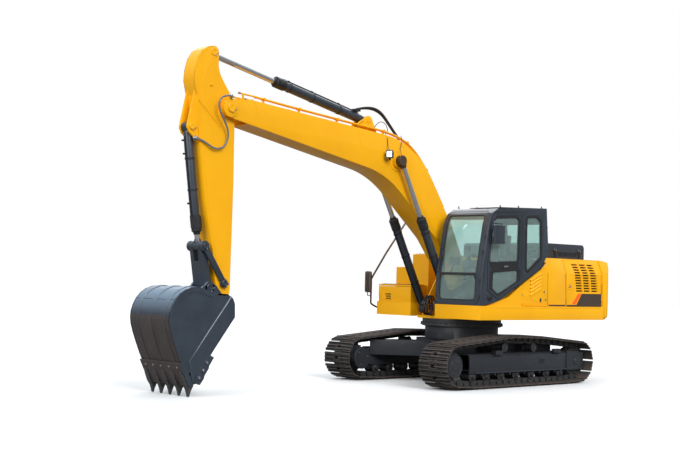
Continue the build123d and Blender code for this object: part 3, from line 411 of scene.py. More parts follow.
def softened(node, width, material, body, segments=3, chamfers=()):
    """Stands for a CAD node: the same shape, with rounded edges as on pressed or cast steel.

    Each chamfer is a width and a test of a point in millimetres. Edges between two such points are cut
    off first.
    """
    mesh = bmesh.new()
    mesh.from_mesh(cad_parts[node].data)
    mesh.transform(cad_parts[node].matrix_world)
    bmesh.ops.remove_doubles(mesh, verts=mesh.verts, dist=2e-5)
    bmesh.ops.dissolve_limit(
        mesh, angle_limit=radians(0.6), verts=mesh.verts, edges=mesh.edges, delimit={"NORMAL"})
    for cut, chosen in chamfers:
        edges = [e for e in mesh.edges if all(chosen(v.co / MM) for v in e.verts)]
        bmesh.ops.bevel(mesh, geom=edges, offset=cut * MM, segments=1, profile=0.5, affect="EDGES")
    data = bpy.data.meshes.new(node + "_shape")
    mesh.to_mesh(data)
    mesh.free()
    for polygon in data.polygons:
        polygon.use_smooth = True
    return set_down(node + "_shape", data, material, body, (node,), width, 28, segments)


def pipes(name, runs, material, body, place=HOUSE):
    """Tubes through points, as one curve: runs is a list of (radius, points)."""
    curve = bpy.data.curves.new(name, "CURVE")
    curve.dimensions = "3D"
    curve.bevel_depth = PIPE_RADIUS * MM
    curve.bevel_resolution = 3
    curve.use_fill_caps = True
    curve.resolution_u = 6
    for radius, points in runs:
        spline = curve.splines.new("NURBS")
        spline.points.add(len(points) - 1)
        for target, point in zip(spline.points, points):
            target.co = (*(place @ (Vector(point) * MM)), 1)
            target.radius = radius / PIPE_RADIUS
        spline.order_u = 3
        spline.use_endpoint_u = True
    return set_down(name, curve, material, body)


def rounded(points, radius, steps=4):
    """A closed (x, z) outline with its corners rounded by arcs."""
    result = []
    count = len(points)
    for i, corner in enumerate(points):
        c = Vector(corner)
        a, b = Vector(points[i - 1]) - c, Vector(points[(i + 1) % count]) - c
        half = a.angle(b) / 2
        reach = min(radius / tan(half), a.length * 0.45, b.length * 0.45)
        start, end = c + a.normalized() * reach, c + b.normalized() * reach
        for k in range(steps + 1):
            t = k / steps
            p = start * (1 - t) ** 2 + c * (2 * t * (1 - t)) + end * t * t
            result.append((p.x, p.y))
    return result


def grown(points, distance):
    """A closed outline moved outwards, or inwards by a negative distance."""
    area = sum(a[0] * b[1] - b[0] * a[1] for a, b in zip(points, points[1:] + points[:1]))
    sign = 1 if area > 0 else -1
    result = []
    count = len(points)
    for i, p in enumerate(points):
        a, b = Vector(points[i - 1]), Vector(points[(i + 1) % count])
        c = Vector(p)
        n1 = Vector(((c - a).y, -(c - a).x)).normalized() * sign
        n2 = Vector(((b - c).y, -(b - c).x)).normalized() * sign
        n = (n1 + n2).normalized()
        result.append(tuple(c + n * distance / max(0.3, n.dot(n1))))
    return result


def dense(points, step):
    """A closed outline with its long edges cut into steps."""
    result = []
    for a, b in zip(points, points[1:] + points[:1]):
        a, b = Vector(a), Vector(b)
        count = max(1, round((b - a).length / step))
        result += [tuple(a.lerp(b, k / count)) for k in range(count)]
    return result


def side_at(y, side=1):
    """Places an (x, z) outline on a flat side of the machine, standing proud of y by a height."""
    return lambda p, height: (p[0], side * (y + height), p[1])


# Undercarriage


def loop(depth):
    """The track's closed path at a depth inside the grouser tips, as evenly sampled (x, z) points."""
    dots = []
    for x, z, radius in WHEELS:
        for k in range(240):
            a = 2 * pi * k / 240
            dots.append((x + (radius - depth) * cos(a), z + (radius - depth) * sin(a)))
    dots.sort()
    halves = []
    for ordered in (dots, dots[::-1]):
        half = []
        for p in ordered:
            while len(half) > 1 and (
                (half[-1][0] - half[-2][0]) * (p[1] - half[-2][1])
                <= (half[-1][1] - half[-2][1]) * (p[0] - half[-2][0])
            ):
                half.pop()
            half.append(p)
        halves += half[:-1]
    return [Vector(p) for p in halves]


def stations(path, count):
    """Evenly spaced (place, direction) pairs along a closed path, turning clockwise seen from the left."""
    path = path[::-1]
    ends = path[1:] + path[:1]
    total = sum((b - a).length for a, b in zip(path, ends))
    result, walked, index = [], 0.0, 0
    for k in range(count):
        goal = total * (k + 0.5) / count
        while walked + (ends[index] - path[index]).length < goal:
            walked += (ends[index] - path[index]).length
            index += 1
        a, b = path[index], ends[index]
        direction = (b - a).normalized()
        result.append((a + direction * (goal - walked), direction))
    return result, total / count


def make_tracks():
    pitch_depth = GROUSER + PLATE + RAIL / 2
    stops, pitch = stations(loop(pitch_depth), SHOE_COUNT)
    rib, half = pitch * 0.36, pitch / 2
    profile = [(-half - 2, -PLATE), (-half - 4, -4), (-rib - 14, 0)]
    for middle in (-rib, 0, rib):
        profile += [(middle - 11, 0), (middle - 5, GROUSER), (middle + 5, GROUSER), (middle + 11, 0)]
    tail = [(half - 4, 0), (half + 6, -5), (half + 6, -PLATE - 4), (half - 6, -PLATE)]
    profile += tail
    leading = profile[:7] + [(-rib * 0.5, 0), (-rib * 0.5, -PLATE)]
    trailing = [(rib * 0.5, -PLATE), (rib * 0.5, 0)] + profile[11:]
    link = [
        (-half - 38, -20), (-half - 20, -42), (-half + 30, -44), (half - 46, -44), (half - 22, -30),
        (half + 16, -26), (half + 36, -4), (half + 34, 20), (half + 14, 36), (half - 26, 38),
        (0, 44), (-half + 20, 42), (-half - 14, 38), (-half - 36, 14),
    ]
    shoes, chain, fasteners = Piece(UNDER), Piece(UNDER), Piece(UNDER)
    for side in SIDES:
        middle = side * GAUGE / 2
        for centre, along in stops:
            out = Vector((-along.y, along.x))
            if out.dot(centre - Vector((0, TRACK_TOP / 2))) < 0:
                out = -out

            def at(s, h, y):
                p = centre + along * s + out * h
                return (p.x, middle + y, max(p.y, 0.0))

            top = RAIL / 2 + PLATE
            parts = (
                (profile, ((-SHOE_HALF, 0.45), (28 - SHOE_HALF, 1), (-MUD_HOLE_HALF, 1))),
                (profile, ((MUD_HOLE_HALF, 1), (SHOE_HALF - 28, 1), (SHOE_HALF, 0.45))),
                (leading, ((-MUD_HOLE_HALF, 1), (MUD_HOLE_HALF, 1))),
                (trailing, ((-MUD_HOLE_HALF, 1), (MUD_HOLE_HALF, 1))),
            )
            for outline, cuts in parts:
                shoes.solid([
                    [at(s, top + (h * share if h > 0 else h), y) for s, h in outline] for y, share in cuts
                ])
            for rail in SIDES:
                shift = rail * 63
                chain.solid([[at(s, h, shift + w) for s, h in link] for w in (-21, 21)])
                for s in (-pitch * 0.18, pitch * 0.18):
                    direction = Vector((out.x, 0, out.y))
                    fasteners.bolt(at(s, top, shift), direction, 11, 9)
            chain.rod(at(half, 0, -104), at(half, 0, 104), 21, 12)
            chain.rod(at(half, 0, -42), at(half, 0, 42), 29, 12)
    shoes.done("track_shoes", TRACK, "undercarriage", 0, stands_for=("tracks",))
    chain.done("track_chains", DULL, "undercarriage", 0)
    fasteners.done("track_bolts", TRACK, "undercarriage", 0)


def make_running_gear():
    covers, bolts, wheels, carriers, lips, slots = (Piece(UNDER) for _ in range(6))
    oval = rect(-740, 372, -600, 438, 33, 6)
    for side in SIDES:
        middle = side * GAUGE / 2
        out = Vector((0, side, 0))
        hub = Vector((SPROCKET[0], middle, SPROCKET[1]))
        yoke = Vector((-1640, middle + side * 176, 383))
        covers.turned(hub, out, ((150, 196), (164, 196), (170, 190), (170, 178), (166, 174), (166, 96),
                                 (172, 90), (176, 84)), 48)
        covers.turned(hub, -out, ((275, 188), (284, 188), (290, 182)), 40)
        covers.turned(yoke, out, ((0, 62), (10, 62), (16, 54)), 28)
        for way in spokes(12)[:6]:
            covers.rod(hub + out * 168 - way * 150, hub + out * 168 + way * 150, 7, 6)
        bolts.bolt_circle(hub + out * 170, out, 184, 16, 8, 8)
        bolts.bolt_circle(hub + out * 166, out, 130, 3, 11, 10, 0.2)
        bolts.bolt_circle(hub - out * 290, -out, 120, 3, 17, 15, 0.4)
        bolts.bolt_circle(yoke + out * 16, out, 40, 4, 8, 8, 0.5)
        for face in (out, -out):
            wheels.turned((IDLER[0], middle, IDLER[1]), face, (
                (80, 232), (86, 226), (86, 196), (70, 180), (70, 96), (88, 84), (100, 78)), 40)
            for x in BOTTOM_ROLLERS:
                centre = (x, middle, ROLLER_Z)
                wheels.turned(centre, face, (
                    (88, 76), (90, 92), (98, 92), (104, 66), (116, 58), (124, 50)), 24)
                covers.turned(centre, face, ((120, 47), (134, 47), (138, 42)), 20)
        for x, z, radius in CARRIER_ROLLERS:
            carriers.turned((x, middle, z), out, (
                (-112, 34), (-106, 40), (-98, radius), (-90, radius), (-84, radius - 12),
                (84, radius - 12), (90, radius), (98, radius), (106, 40), (116, 36)), 32)
            inner, outer = middle - side * 190 - 20, middle - side * 110 + 20
            carriers.box((x - 26, inner, z - 26), (x + 26, outer, z + 26))

        def at(distance):
            return middle + side * distance

        for x in (545, -1060):
            covers.box((x - 95, at(140), 548), (x + 95, at(200), 606))
            for k in (-60, 0, 60):
                covers.box((x + k - 18, at(140), 604), (x + k + 18, at(200), 614))
        for x in BOTTOM_ROLLERS[:-1]:
            lug = [(x - 205, 252), (x - 145, 252), (x - 160, 205), (x - 190, 205)]
            covers.across(lug, at(134), at(152))
        guard = [(-1372, 236), (-1372, 566), (-1740, 556), (-1790, 480), (-1790, 300), (-1740, 236)]
        covers.across(rounded(guard, 24, 4), at(120), at(176))
        lips.box((-1372, at(120), 244), (1120, at(176), 264))
        lips.box((-1372, at(148), 488), (1200, at(158), 500))
        covers.rim(oval, 0, 9, side_at(0, side), GAUGE / 2 + 153, GAUGE / 2 + 160)
        slots.across(grown(oval, 1), at(154), at(157))
    covers.done("hub_covers_and_guards", FRAME_DARK, "undercarriage", 2)
    lips.done("track_frame_lips", SLATE, "undercarriage", 3)
    bolts.done("undercarriage_bolts", WORN, "undercarriage", 0)
    wheels.done("wheel_rims", DULL, "undercarriage", 1.5)
    carriers.done("carrier_wheels", DULL, "undercarriage", 1.5, stands_for=("carrier_rollers",))
    slots.done("frame_hole_shadow", BLACK, "undercarriage", 0)


def make_slew_details():
    ring, legs = Piece(UNDER), Piece(UNDER)
    ring.solid([[(way.x * radius, way.y * radius, z) for way in spokes(72, v=(0, 1, 0))]
                for radius, z in ((688, 970), (722, 970), (722, 1004), (688, 1004))], "joined")
    ring.bolt_circle((0, 0, 1004), (0, 0, 1), 706, 44, 11, 22, v=(0, 1, 0))
    ring.done("slew_ring_flange", DULL, "undercarriage", 0)
    shape = ((330, 330), (640, 140), (1010, 700), (900, 790))
    for fore in SIDES:
        for side in SIDES:
            legs.solid([[(fore * x, side * y, low - 62 * (y - 140) / 560) for x, y in shape]
                        for low in (687, 697)])
    legs.done("leg_top_plates", FRAME_DARK, "undercarriage", 3)


# House


def front_x(z):
    """Where the cab's front face stands at a height."""
    table = ((1348, 1035), (1858, 1020), (2698, 868), (2880, 790), (2962, 650))
    for (z0, x0), (z1, x1) in zip(table, table[1:]):
        if z <= z1:
            return x0 + (x1 - x0) * (z - z0) / (z1 - z0)
    return table[-1][1]


def on_front(p, height):
    return (front_x(p[1]) + height, p[0], p[1])


DOOR_SIDE = [
    (893, 1600), (900, 2010), (858, 2400), (800, 2760), (725, 2890), (-5, 2930), (-15, 1770), (620, 1455),
]
DOOR_UPPER = [(856, 2054), (822, 2364), (765, 2740), (700, 2806), (169, 2844), (101, 2787), (118, 2092)]
DOOR_LOWER = [(763, 1914), (114, 1964), (120, 1758), (622, 1530), (779, 1629)]
REAR_SIDE_WINDOW = [(-85, 2857), (-370, 2873), (-469, 2799), (-489, 2188), (-89, 1900)]
RIGHT_WINDOW = [(880, 1600), (870, 2364), (740, 2800), (-450, 2860), (-489, 2188), (-89, 1900), (620, 1560)]


def make_cab_trim():
    rims, seals, door_seals, door_rim, grip = (Piece() for _ in range(5))
    opening = dense(rect(400, 1425, 1225, 2860, 85, 6), 70)
    rims.rim(opening, -4, 68, on_front, -20, 11)
    seals.rim(opening, -24, -2, on_front, -24, 6)
    bar = ((1846, -14), (1846, 7), (1889, 7), (1889, -14))
    seals.solid([[on_front((y, z), d) for z, d in bar] for y in (398, 1227)])
    for y in (424, 1200):
        seals.box((front_x(1815) - 4, y - 16, 1800), (front_x(1815) + 14, y + 16, 1836))
    for pane, face, side in ((REAR_SIDE_WINDOW, CAB_OUTER_Y, 1), (RIGHT_WINDOW, -CAB_INNER_Y, -1)):
        seals.rim(rounded(pane, 60, 5), -18, 26, side_at(face, side), -22, 5)
    rear = dense(rect(430, 2250, 1250, 2850, 60, 5), 90)
    seals.rim(rear, -16, 24, lambda p, h: (-690 + (p[1] - 2260) / 11 - h, p[0], p[1]), -30, 5)
    rims.done("windscreen_frame", SLATE, "house", 3)
    seals.done("cab_window_seals", RUBBER, "house", 2)
    for pane, width in ((DOOR_UPPER, 26), (DOOR_LOWER, 62)):
        door_seals.rim(rounded(pane, 55, 5), -16, width, side_at(CAB_OUTER_Y), -22, 4)
    door_rim.rim(rounded(grown(DOOR_SIDE, -8), 70, 5), -34, 0, side_at(CAB_OUTER_Y), -6, 7)
    bar = [(852, 2046), (772, 1922), (112, 1970), (112, 2084)]
    door_seals.across(bar, CAB_OUTER_Y - 4, CAB_OUTER_Y + 3)
    plate = rounded([(350, 1978), (520, 1970), (520, 2040), (350, 2048)], 26, 5)
    door_seals.across(plate, CAB_OUTER_Y, CAB_OUTER_Y + 9)
    door_seals.done("cab_door_seals", RUBBER, "cab_door", 1.5)
    door_rim.done("cab_door_rim", SLATE, "cab_door", 2.5)
    handle = rounded([(385, 1996), (490, 1991), (490, 2016), (385, 2021)], 11, 4)
    grip.across(handle, CAB_OUTER_Y + 8, CAB_OUTER_Y + 17)
    grip.done("cab_door_handle", STEEL, "cab_door", 2)
    pipes("windscreen_clips", [
        (11, [(front_x(z) + 9, y, z - 28), (front_x(z) + 15, y, z), (front_x(z) + 9, y, z + 28)])
        for z in (1500, 1760, 2230, 2480) for y in (352, 1303)
    ], BLACK, "house")


def on_roof(p, height):
    return (p[0], p[1], 3007 - 0.0363 * (p[0] - 14) + height)


def make_cab_fittings():
    black, hatch, wiper = Piece(), Piece(), Piece()
    for x in (560, 90, -520):
        for y in (1305, 380):
            black.turned(on_roof((x, y), -4), (0, 0, 1), ((0, 17), (8, 17), (12, 9), (34, 9), (40, 6)), 16)
    cap = ((0, 62), (8, 62), (12, 54), (12, 40), (20, 34), (22, 20))
    black.turned((818, CAB_OUTER_Y, 1488), (0, 1, 0), cap, 36)
    for z in CAB_BOLTS_Z:
        black.bolt((-640, CAB_OUTER_Y, z), (0, 1, 0), 9, 9)
    black.done("cab_plugs", BLACK, "house", 2)
    hatch.layers(rect(-560, 470, 430, 1220, 90, 5), on_roof, ((-4, 0), (5, 0), (9, -10)))
    hatch.done("cab_roof_hatch", SLATE, "house", 3)
    wiper.turned((front_x(1905) + 8, 372, 1905), (1, 0, 0), ((0, 26), (16, 26), (22, 18), (30, 14)), 20)
    wiper.rod((front_x(1905) + 26, 372, 1905), (front_x(2240) + 24, 432, 2240), 9, 10)
    wiper.rod((front_x(2010) + 14, 440, 2010), (front_x(2420) + 14, 440, 2420), 8, 8)
    wiper.done("windscreen_wiper", BLACK, "house", 1)


def make_cab_inside():
    seat = softened("operator_seat", 34, CLOTH, "house", 4)
    softened("operator_console", 9, GREY_PLASTIC, "house")
    knobs, boots, display_and_shade_sheet, shelf = (Piece() for _ in range(4))
    for side in SIDES:
        for x, y, z, knob, count, step, wide, taper in (
            (420, 325, 2110, ((150, 14), (165, 24), (215, 27), (236, 20), (242, 8)), 20, 9, 44, 3.2),
            (700, 90, 1463, ((440, 14), (455, 21), (500, 22), (512, 14)), 18, 10, 52, 3.6),
        ):
            foot = (x, SEAT_Y + side * y, z)
            knobs.turned(foot, (0, 0, 1), knob, count)
            folds = [(k * step, wide - k * taper + (4 if k % 2 else -3)) for k in range(10)]
            boots.turned(foot, (0, 0, 1), folds, 24)
        y = SEAT_Y + side * 90
        knobs.box((740, y - 55, 1470), (860, y + 55, 1486))
        y = SEAT_Y + side * 300
        knobs.box((60, y - 45, 2150), (330, y + 45, 2205))
        y = SEAT_Y + side * 290
        knobs.rod((80, y, 2050), (80, y, 2160), 18, 12)
    knobs.done("operator_levers_and_armrests", PLASTIC, "house", 5)
    boots.done("lever_boots", RUBBER, "house", 0)
    display_and_shade_sheet.section(rect(400, 2010, 580, 2150, 16, 3), 760, 726)
    display_and_shade_sheet.rod((770, 420, 1880), (745, 470, 2040), 13, 12)
    display_and_shade_sheet.done("cab_display", PLASTIC, "house", 3)
    shelf.box((-560, 420, 1860), (-380, 1270, 2150))
    shelf.done("cab_rear_shelf", GREY_PLASTIC, "house", 14)


STRIPE_SHAPE = [(-1275, 1380), (-1275, 1353), (-2279, 1353), (-2279, 1580), (-1700, 1580), (-1545, 1380)]
SLASH_SHAPE = [(-1412, 1392), (-1528, 1392), (-1690, 1580), (-1596, 1580)]


def make_side_trim():
    y = PANEL_SIDE
    seams, edge, lips, backing, locks, key, recess, latch, rims = (Piece() for _ in range(9))
    for name, shape, proud, material, body in (
        ("door_stripe", STRIPE_SHAPE, 1.5, STRIPE, "left_rear_door"),
        ("door_slash", SLASH_SHAPE, 2, ORANGE, "left_rear_door"),
        ("panel_stripe", rect(-1230, 1352, -764, 1380), 1.5, STRIPE, "house"),
    ):
        film = Piece()
        film.across(shape, y - 1, y + proud)
        film.done(name, material, body, 0)
    # Black rubber strips in the panel gaps, a little proud of the panels: partly real seals, partly painted
    # shade in the seams.
    for low_x, high_x, top in (
        (-48, -58, 1655), (-745, -733, SHOULDER_Z), (-1262, -1216, SHOULDER_Z), (-2277, -2262, SHOULDER_Z),
    ):
        seams.across([(low_x, 1350), (low_x + 7, 1350), (high_x + 7, top), (high_x, top)], y - 6, y + 0.8)
    seams.done("panel_seams", RUBBER, "house", 0)
    edge.box((-2215, DECK_SIDE - 2, 1318), (1070, DECK_SIDE + 3, 1344))
    edge.done("deck_edge_strip", YELLOW, "house", 1.5)
    lip = ((-3, 0), (24, -20), (26, -12), (4, 14), (-3, 16))
    for z in range(0, 310, 62):
        lips.solid([[(x, y + out, base + lift + z) for out, lift in lip]
                    for x, base in ((-250, 1545), (-530, 1670))])
    lips.done("left_louvre_lips", YELLOW, "left_front_door", 2)
    backing.across([(-230, 1500), (-555, 1640), (-555, 1945), (-230, 1810)], y - 44, y - 40)
    backing.done("left_louvre_shadow", BLACK, "left_front_door", 0)
    locks.turned((-640, y, 1596), (0, 1, 0), ((-2, 17), (3, 17), (5, 14)), 20)
    locks.across(rect(-560, 1420, -520, 1490, 18, 5), y, y + 4)
    locks.box((-700, y, 1452), (-660, y + 5, 1468))
    locks.done("left_front_door_lock", BLACK, "left_front_door", 1)
    key.turned((-640, y, 1596), (0, 1, 0), ((3, 9), (8, 9), (10, 6)), 14)
    key.done("left_front_door_key", STEEL, "left_front_door", 0)
    recess.rim(rect(-1395, 1650, -1290, 1750, 14, 4), -9, 0, side_at(y), -3, 5)
    recess.done("left_rear_door_recess", YELLOW, "left_rear_door", 1.5)
    latch.across(rect(-1368, 1682, -1322, 1720, 8, 3), y, y + 7)
    latch.turned((-1345, y, 1700), (0, 1, 0), ((6, 13), (13, 13), (15, 9)), 16)
    latch.done("left_rear_door_latch", STEEL, "left_rear_door", 1)
    # Flat sheets behind the grille slots, coloured as painted shade in the openings.
    sheet = ((1276, 1600), (1276, 1918), (1186, 2126), (1180, 2122), (1270, 1914), (1270, 1600))
    for name, side, columns in (("left", 1, 3), ("right", -1, 2)):
        display_and_shade_sheet = Piece()
        display_and_shade_sheet.section([(side * a, b) for a, b in sheet], -1523 - columns * 222, -1450)
        display_and_shade_sheet.done(name + "_grille_painted_shade", GRILLE_PAINTED_SHADE, name + "_rear_door", 0)
    for side in SIDES:
        ring = ((-1, 66), (4, 66), (6, 60), (6, 42), (-1, 40))
        rims.turned((LIFTING_X, side * LIFTING_Y, HOOD_Z), (0, 0, 1), ring, 32)
    rims.done("lifting_hole_rims", YELLOW, "house", 1)


def make_hood_trim():
    black, steel, slots, ribs = (Piece() for _ in range(4))
    for x in (-1440, -2140):
        black.turned((x, HOOD_SIDE, 2338), (0, 1, 0), ((-1, 62), (8, 62), (14, 50), (24, 40), (30, 28)), 28)
        black.box((x - 16, HOOD_SIDE - 2, 2215), (x + 16, HOOD_SIDE + 16, 2340))
        steel.turned((x, HOOD_SIDE, 2338), (0, 1, 0), ((24, 13), (30, 13), (33, 8)), 16)
    slots.rim(rect(-2060, 2240, -1520, 2312, 16, 4), -8, 0, side_at(HOOD_SIDE), -2, 5)
    for x in range(-2040, -1500, 36):
        slots.box((x, HOOD_SIDE - 2, 2250), (x + 14, HOOD_SIDE + 5, 2302))
    for y in (-600, -200, 200, 600):
        ribs.box((-2150, y - 60, HOOD_TOP - 2), (-1150, y + 60, HOOD_TOP + 7))
    black.done("hood_latches", BLACK, "engine_hood", 2)
    steel.done("hood_latch_pins", STEEL, "engine_hood", 0)
    slots.done("hood_grille", BLACK, "engine_hood", 1)
    ribs.done("hood_top_ribs", HOOD_DARK, "engine_hood", 3)


def make_right_side():
    caps, plates, bolts, slot, feet, mirror, shell = (Piece() for _ in range(7))
    caps.turned((150, -1090, 1975), (0, 0, 1), ((-2, 70), (10, 70), (14, 52), (44, 50), (50, 42)), 32)
    caps.turned((*TANK_COVER, HOOD_Z), (0, 0, 1), ((-2, 84), (8, 84), (10, 60), (26, 58), (30, 50)), 32)
    bolts.bolt_circle((*TANK_COVER, HOOD_Z + 8), (0, 0, 1), 72, 8, 7, 8, v=(0, 1, 0))
    for low, high, body in (
        ((400, -1270, 1655), (740, -560, 1662), "tool_box_lid"),
        ((-500, -1270, 1975), (60, -960, 1982), "house"),
        ((-510, -860, 2207), (310, -540, 2214), "house"),
    ):
        sheet = Piece()
        sheet.box(low, high)
        columns, rows = (int((high[k] - low[k]) / 55) for k in (0, 1))
        for k in range(columns * rows):
            stud = (low[0] + 30 + k // rows * 55, low[1] + 30 + k % rows * 55, high[2])
            sheet.turned(stud, (0, 0, 1), ((-1, 15), (5, 12)), 8)
        sheet.done("step_plate_%d" % low[0], DULL, body, 0)
    caps.done("filler_caps", BLACK, "house", 2)
    bolts.done("tank_cover_bolts", STEEL, "house", 0)
    plates.box((738, -1146, 1388), (742, -994, 1498))
    plates.done("tool_box_slot_shadow", BLACK, "house", 0)
    slot.rim(rect(-1160, 1384, -980, 1502, 14, 4), -10, 0, lambda p, h: (775 + h, *p), -2, 5)
    slot.done("tool_box_slot_frame", YELLOW, "house", 1.5)
    for place, axis in (((700, -1352, 1230), (0, -1, 0)), ((-300, -1100, 1977), (0, 0, 1))):
        feet.turned(place, axis, ((-2, 38), (8, 38), (10, 26), (20, 24)), 20)
    feet.done("handrail_feet", BLACK, "house", 1)
    mirror.box((921, -1488, 1515), (925, -1352, 1865))
    mirror.done("right_mirror_glass", MIRROR, "house", 0)
    shell.layers(rect(-1500, 1500, -1340, 1880, 38, 5), lambda p, x: (x, *p),
                 ((925, -2), (934, 0), (950, -4), (960, -16), (965, -40)))
    shell.box((902, -1432, 1650), (926, -1400, 1730))
    shell.done("right_mirror_shell", STRIPE, "house", 2, stands_for=("right_mirror",))
    pipes("right_mirror_bracket", [(8, [
        (930, -1440, 1510), (930, -1450, 1450), (915, -1430, 1440), (895, -1404, 1440), (886, -1401, 1450),
    ])], STRIPE, "house")


def make_hoses():
    runs, ends, straps = [], Piece(), Piece()
    for k, y in enumerate((-270, -215, -160, 20, 70, 120)):
        lean = 12 if k % 2 else -10
        runs.append((15, [
            (600, y, 1150), (720 + lean, y, 1170), (734 + lean, y, 1260), (702, y, 1370),
            (672 + lean, y + 6, 1435), (622, y + 14, 1482), (580, y + 22, 1440), (566, y + 22, 1360),
            (560, y + 24, 1240),
        ]))
        ends.turned((722 + lean * 0.6, y, 1330), (-0.12, 0, 1), ((0, 22), (26, 22), (30, 18), (52, 18)), 8)
        ends.turned((562, y + 24, 1235), (0, 0, 1), ((0, 23), (30, 23), (34, 18), (56, 18)), 8)
    pipes("boom_foot_hoses", runs, HOSE, "house")
    straps.box((696, -300, 1322), (742, 158, 1334))
    straps.box((690, -100, 1130), (704, -60, 1330))
    ends.done("hose_fittings", DULL, "house", 1)
    straps.done("hose_clamp_bar", BLACK, "house", 2)


def make_pin_caps():
    """Caps, keepers and bolts on the ends of the pins."""
    for name, pin, radius, face, body, material in (
        ("boom_foot", BOOM_FOOT, 64, 283, "house", YELLOW),
        ("boom_tip", BOOM_TIP, 66, 251, "arm", YELLOW),
        ("arm_top", ARM_TOP, 58, ARM_HALF, "arm", YELLOW),
        ("bucket_foot", BUCKET_CYLINDER_FOOT, 48, 118, "arm", YELLOW),
        ("bucket", BUCKET_PIN, 56, 196, "arm", SLATE),
        ("idler", IDLER_PIN, 50, 194, "arm", SLATE),
        ("link", LINK_PIN, 46, 192, "bucket_link", SLATE),
        ("bucket_link", BUCKET_LINK_PIN, 56, 186, "bucket", SLATE),
    ):
        caps, bolts = Piece(ARMS), Piece(ARMS)
        cap = ((-4, radius), (9, radius), (13, radius - 6), (13, radius * 0.55), (9, radius * 0.5))
        for side in SIDES:
            out = Vector((0, side, 0))
            centre = Vector((pin[0], side * face, pin[1]))
            caps.turned(centre, out, cap, 32)
            for turn in (0.35, 1.15):
                spot = centre + Vector((-cos(turn), 0, -sin(turn) + 0.2)) * (radius + 15)
                caps.turned(spot, out, ((-6, 19), (8, 19), (10, 16)), 16)
                bolts.bolt(spot + out * 10, out, 9, 10)
        caps.done(name + "_pin_caps", material, body, 1.5)
        bolts.done(name + "_pin_bolts", STEEL, body, 0)


CYLINDERS = (
    # name, foot, head, places across, the barrel's length and the rod's reach into it, the radii of tube,
    # rod and eyes, the half widths of the foot's and the head's eye, what the rod's eye is finished with
    ("boom", BOOM_CYLINDER_FOOT, BOOM_CYLINDER_HEAD, (BOOM_CYLINDER_Y, -BOOM_CYLINDER_Y),
     1726, 670, 68, 43, 88, 48, 48, BROWN),
    ("arm", ARM_CYLINDER_FOOT, ARM_TOP, (0,), 1962, 666, 74, 48, 74, 82, 82, YELLOW),
    ("bucket", BUCKET_CYLINDER_FOOT, LINK_PIN, (0,), 1539, 1243, 62, 40, 70, 76, 57.7, SLATE),
)


def make_cylinders():
    for name, foot, head, places, barrel, reach, *radii, foot_half, head_half, eye_paint in CYLINDERS:
        tube, shaft, eye = radii
        tubes, glands, rods, eyes, bolts = (Piece(ARMS) for _ in range(5))
        feed = []
        for y in places:
            start, end = Vector((foot[0], y, foot[1])), Vector((head[0], y, head[1]))
            length = (end - start).length
            way = (end - start).normalized()
            side = way.orthogonal().normalized()

            def collar(at, steps, count=40, aside=Vector((0, 0, 0))):
                glands.turned(start + way * at + aside, way, steps, count)

            tubes.turned(start, way, ((eye - 14, tube * 0.8), (eye + 30, tube), (barrel - 196, tube)), 40)
            tubes.drum(start, foot_half, eye)
            collar(barrel, (
                (-200, tube + 4), (-190, tube + 14), (-96, tube + 14), (-92, tube + 8), (-84, tube + 8),
                (-80, tube + 14), (-10, tube + 14), (-3, tube + 6), (-3, shaft + 16), (40, shaft + 9),
                (42, shaft + 2)))
            for spoke in spokes(8, 0, side, way.cross(side)):
                bolts.bolt(start + way * (barrel - 4) + spoke * (tube - 6), way, 8, 10)
            rods.turned(start, way, ((barrel - reach, shaft), (length - eye + 12, shaft)), 40)
            neck = ((eye - 14, shaft + 18), (eye + 14, shaft + 14), (eye + 40, shaft + 2))
            eyes.turned(end, -way, neck, 32)
            eyes.drum(end, head_half, eye)
            lift = Vector((0, 1, 0)).cross(way).normalized()
            if name == "arm":
                lift = Vector((0, 0, 1))
            elif lift.x < 0:
                lift = -lift
            lift *= tube + 17
            feed.append((11, [start + way * d + lift * f for d, f in (
                (eye + 60, 0.9), (eye + 90, 1), (barrel - 290, 1), (barrel - 240, 1), (barrel - 200, 1.02),
                (barrel - 160, 0.95))]))
            if name == "bucket":
                for d in (203, 399, 1128):
                    centre = start + way * d
                    glands.rod(centre, centre + Vector((0.8, -0.6, 0)) * (tube + 42), 15, 12)
                collar(barrel, ((-235, tube + 6), (-225, tube + 22), (-60, tube + 22), (-50, tube + 12)), 8)
            for share in (0.3, 0.6, 0.85):
                at = barrel * share - 16
                collar(at, ((0, tube + 3), (2, tube + 6), (30, tube + 6), (32, tube + 3)))
                collar(at, ((0, 18), (32, 18)), 12, lift)
        plural = "s" if len(places) > 1 else ""
        barrel_body, rod_body = name + "_cylinder_barrel" + plural, name + "_cylinder_rod" + plural
        tubes.done(name + "_barrels", SLATE, barrel_body, 1.5, stands_for=(name + "_cylinder_barrel",))
        glands.done(name + "_glands", BLACK, barrel_body, 1.5)
        bolts.done(name + "_gland_bolts", BLACK, barrel_body, 0)
        pipes(name + "_feed_pipes", feed, BLACK, barrel_body, ARMS)
        rods.done(name + "_rods", CHROME, rod_body, 0, stands_for=(name + "_cylinder_rod",))
        eyes.done(name + "_rod_eyes", eye_paint, rod_body, 1.5)


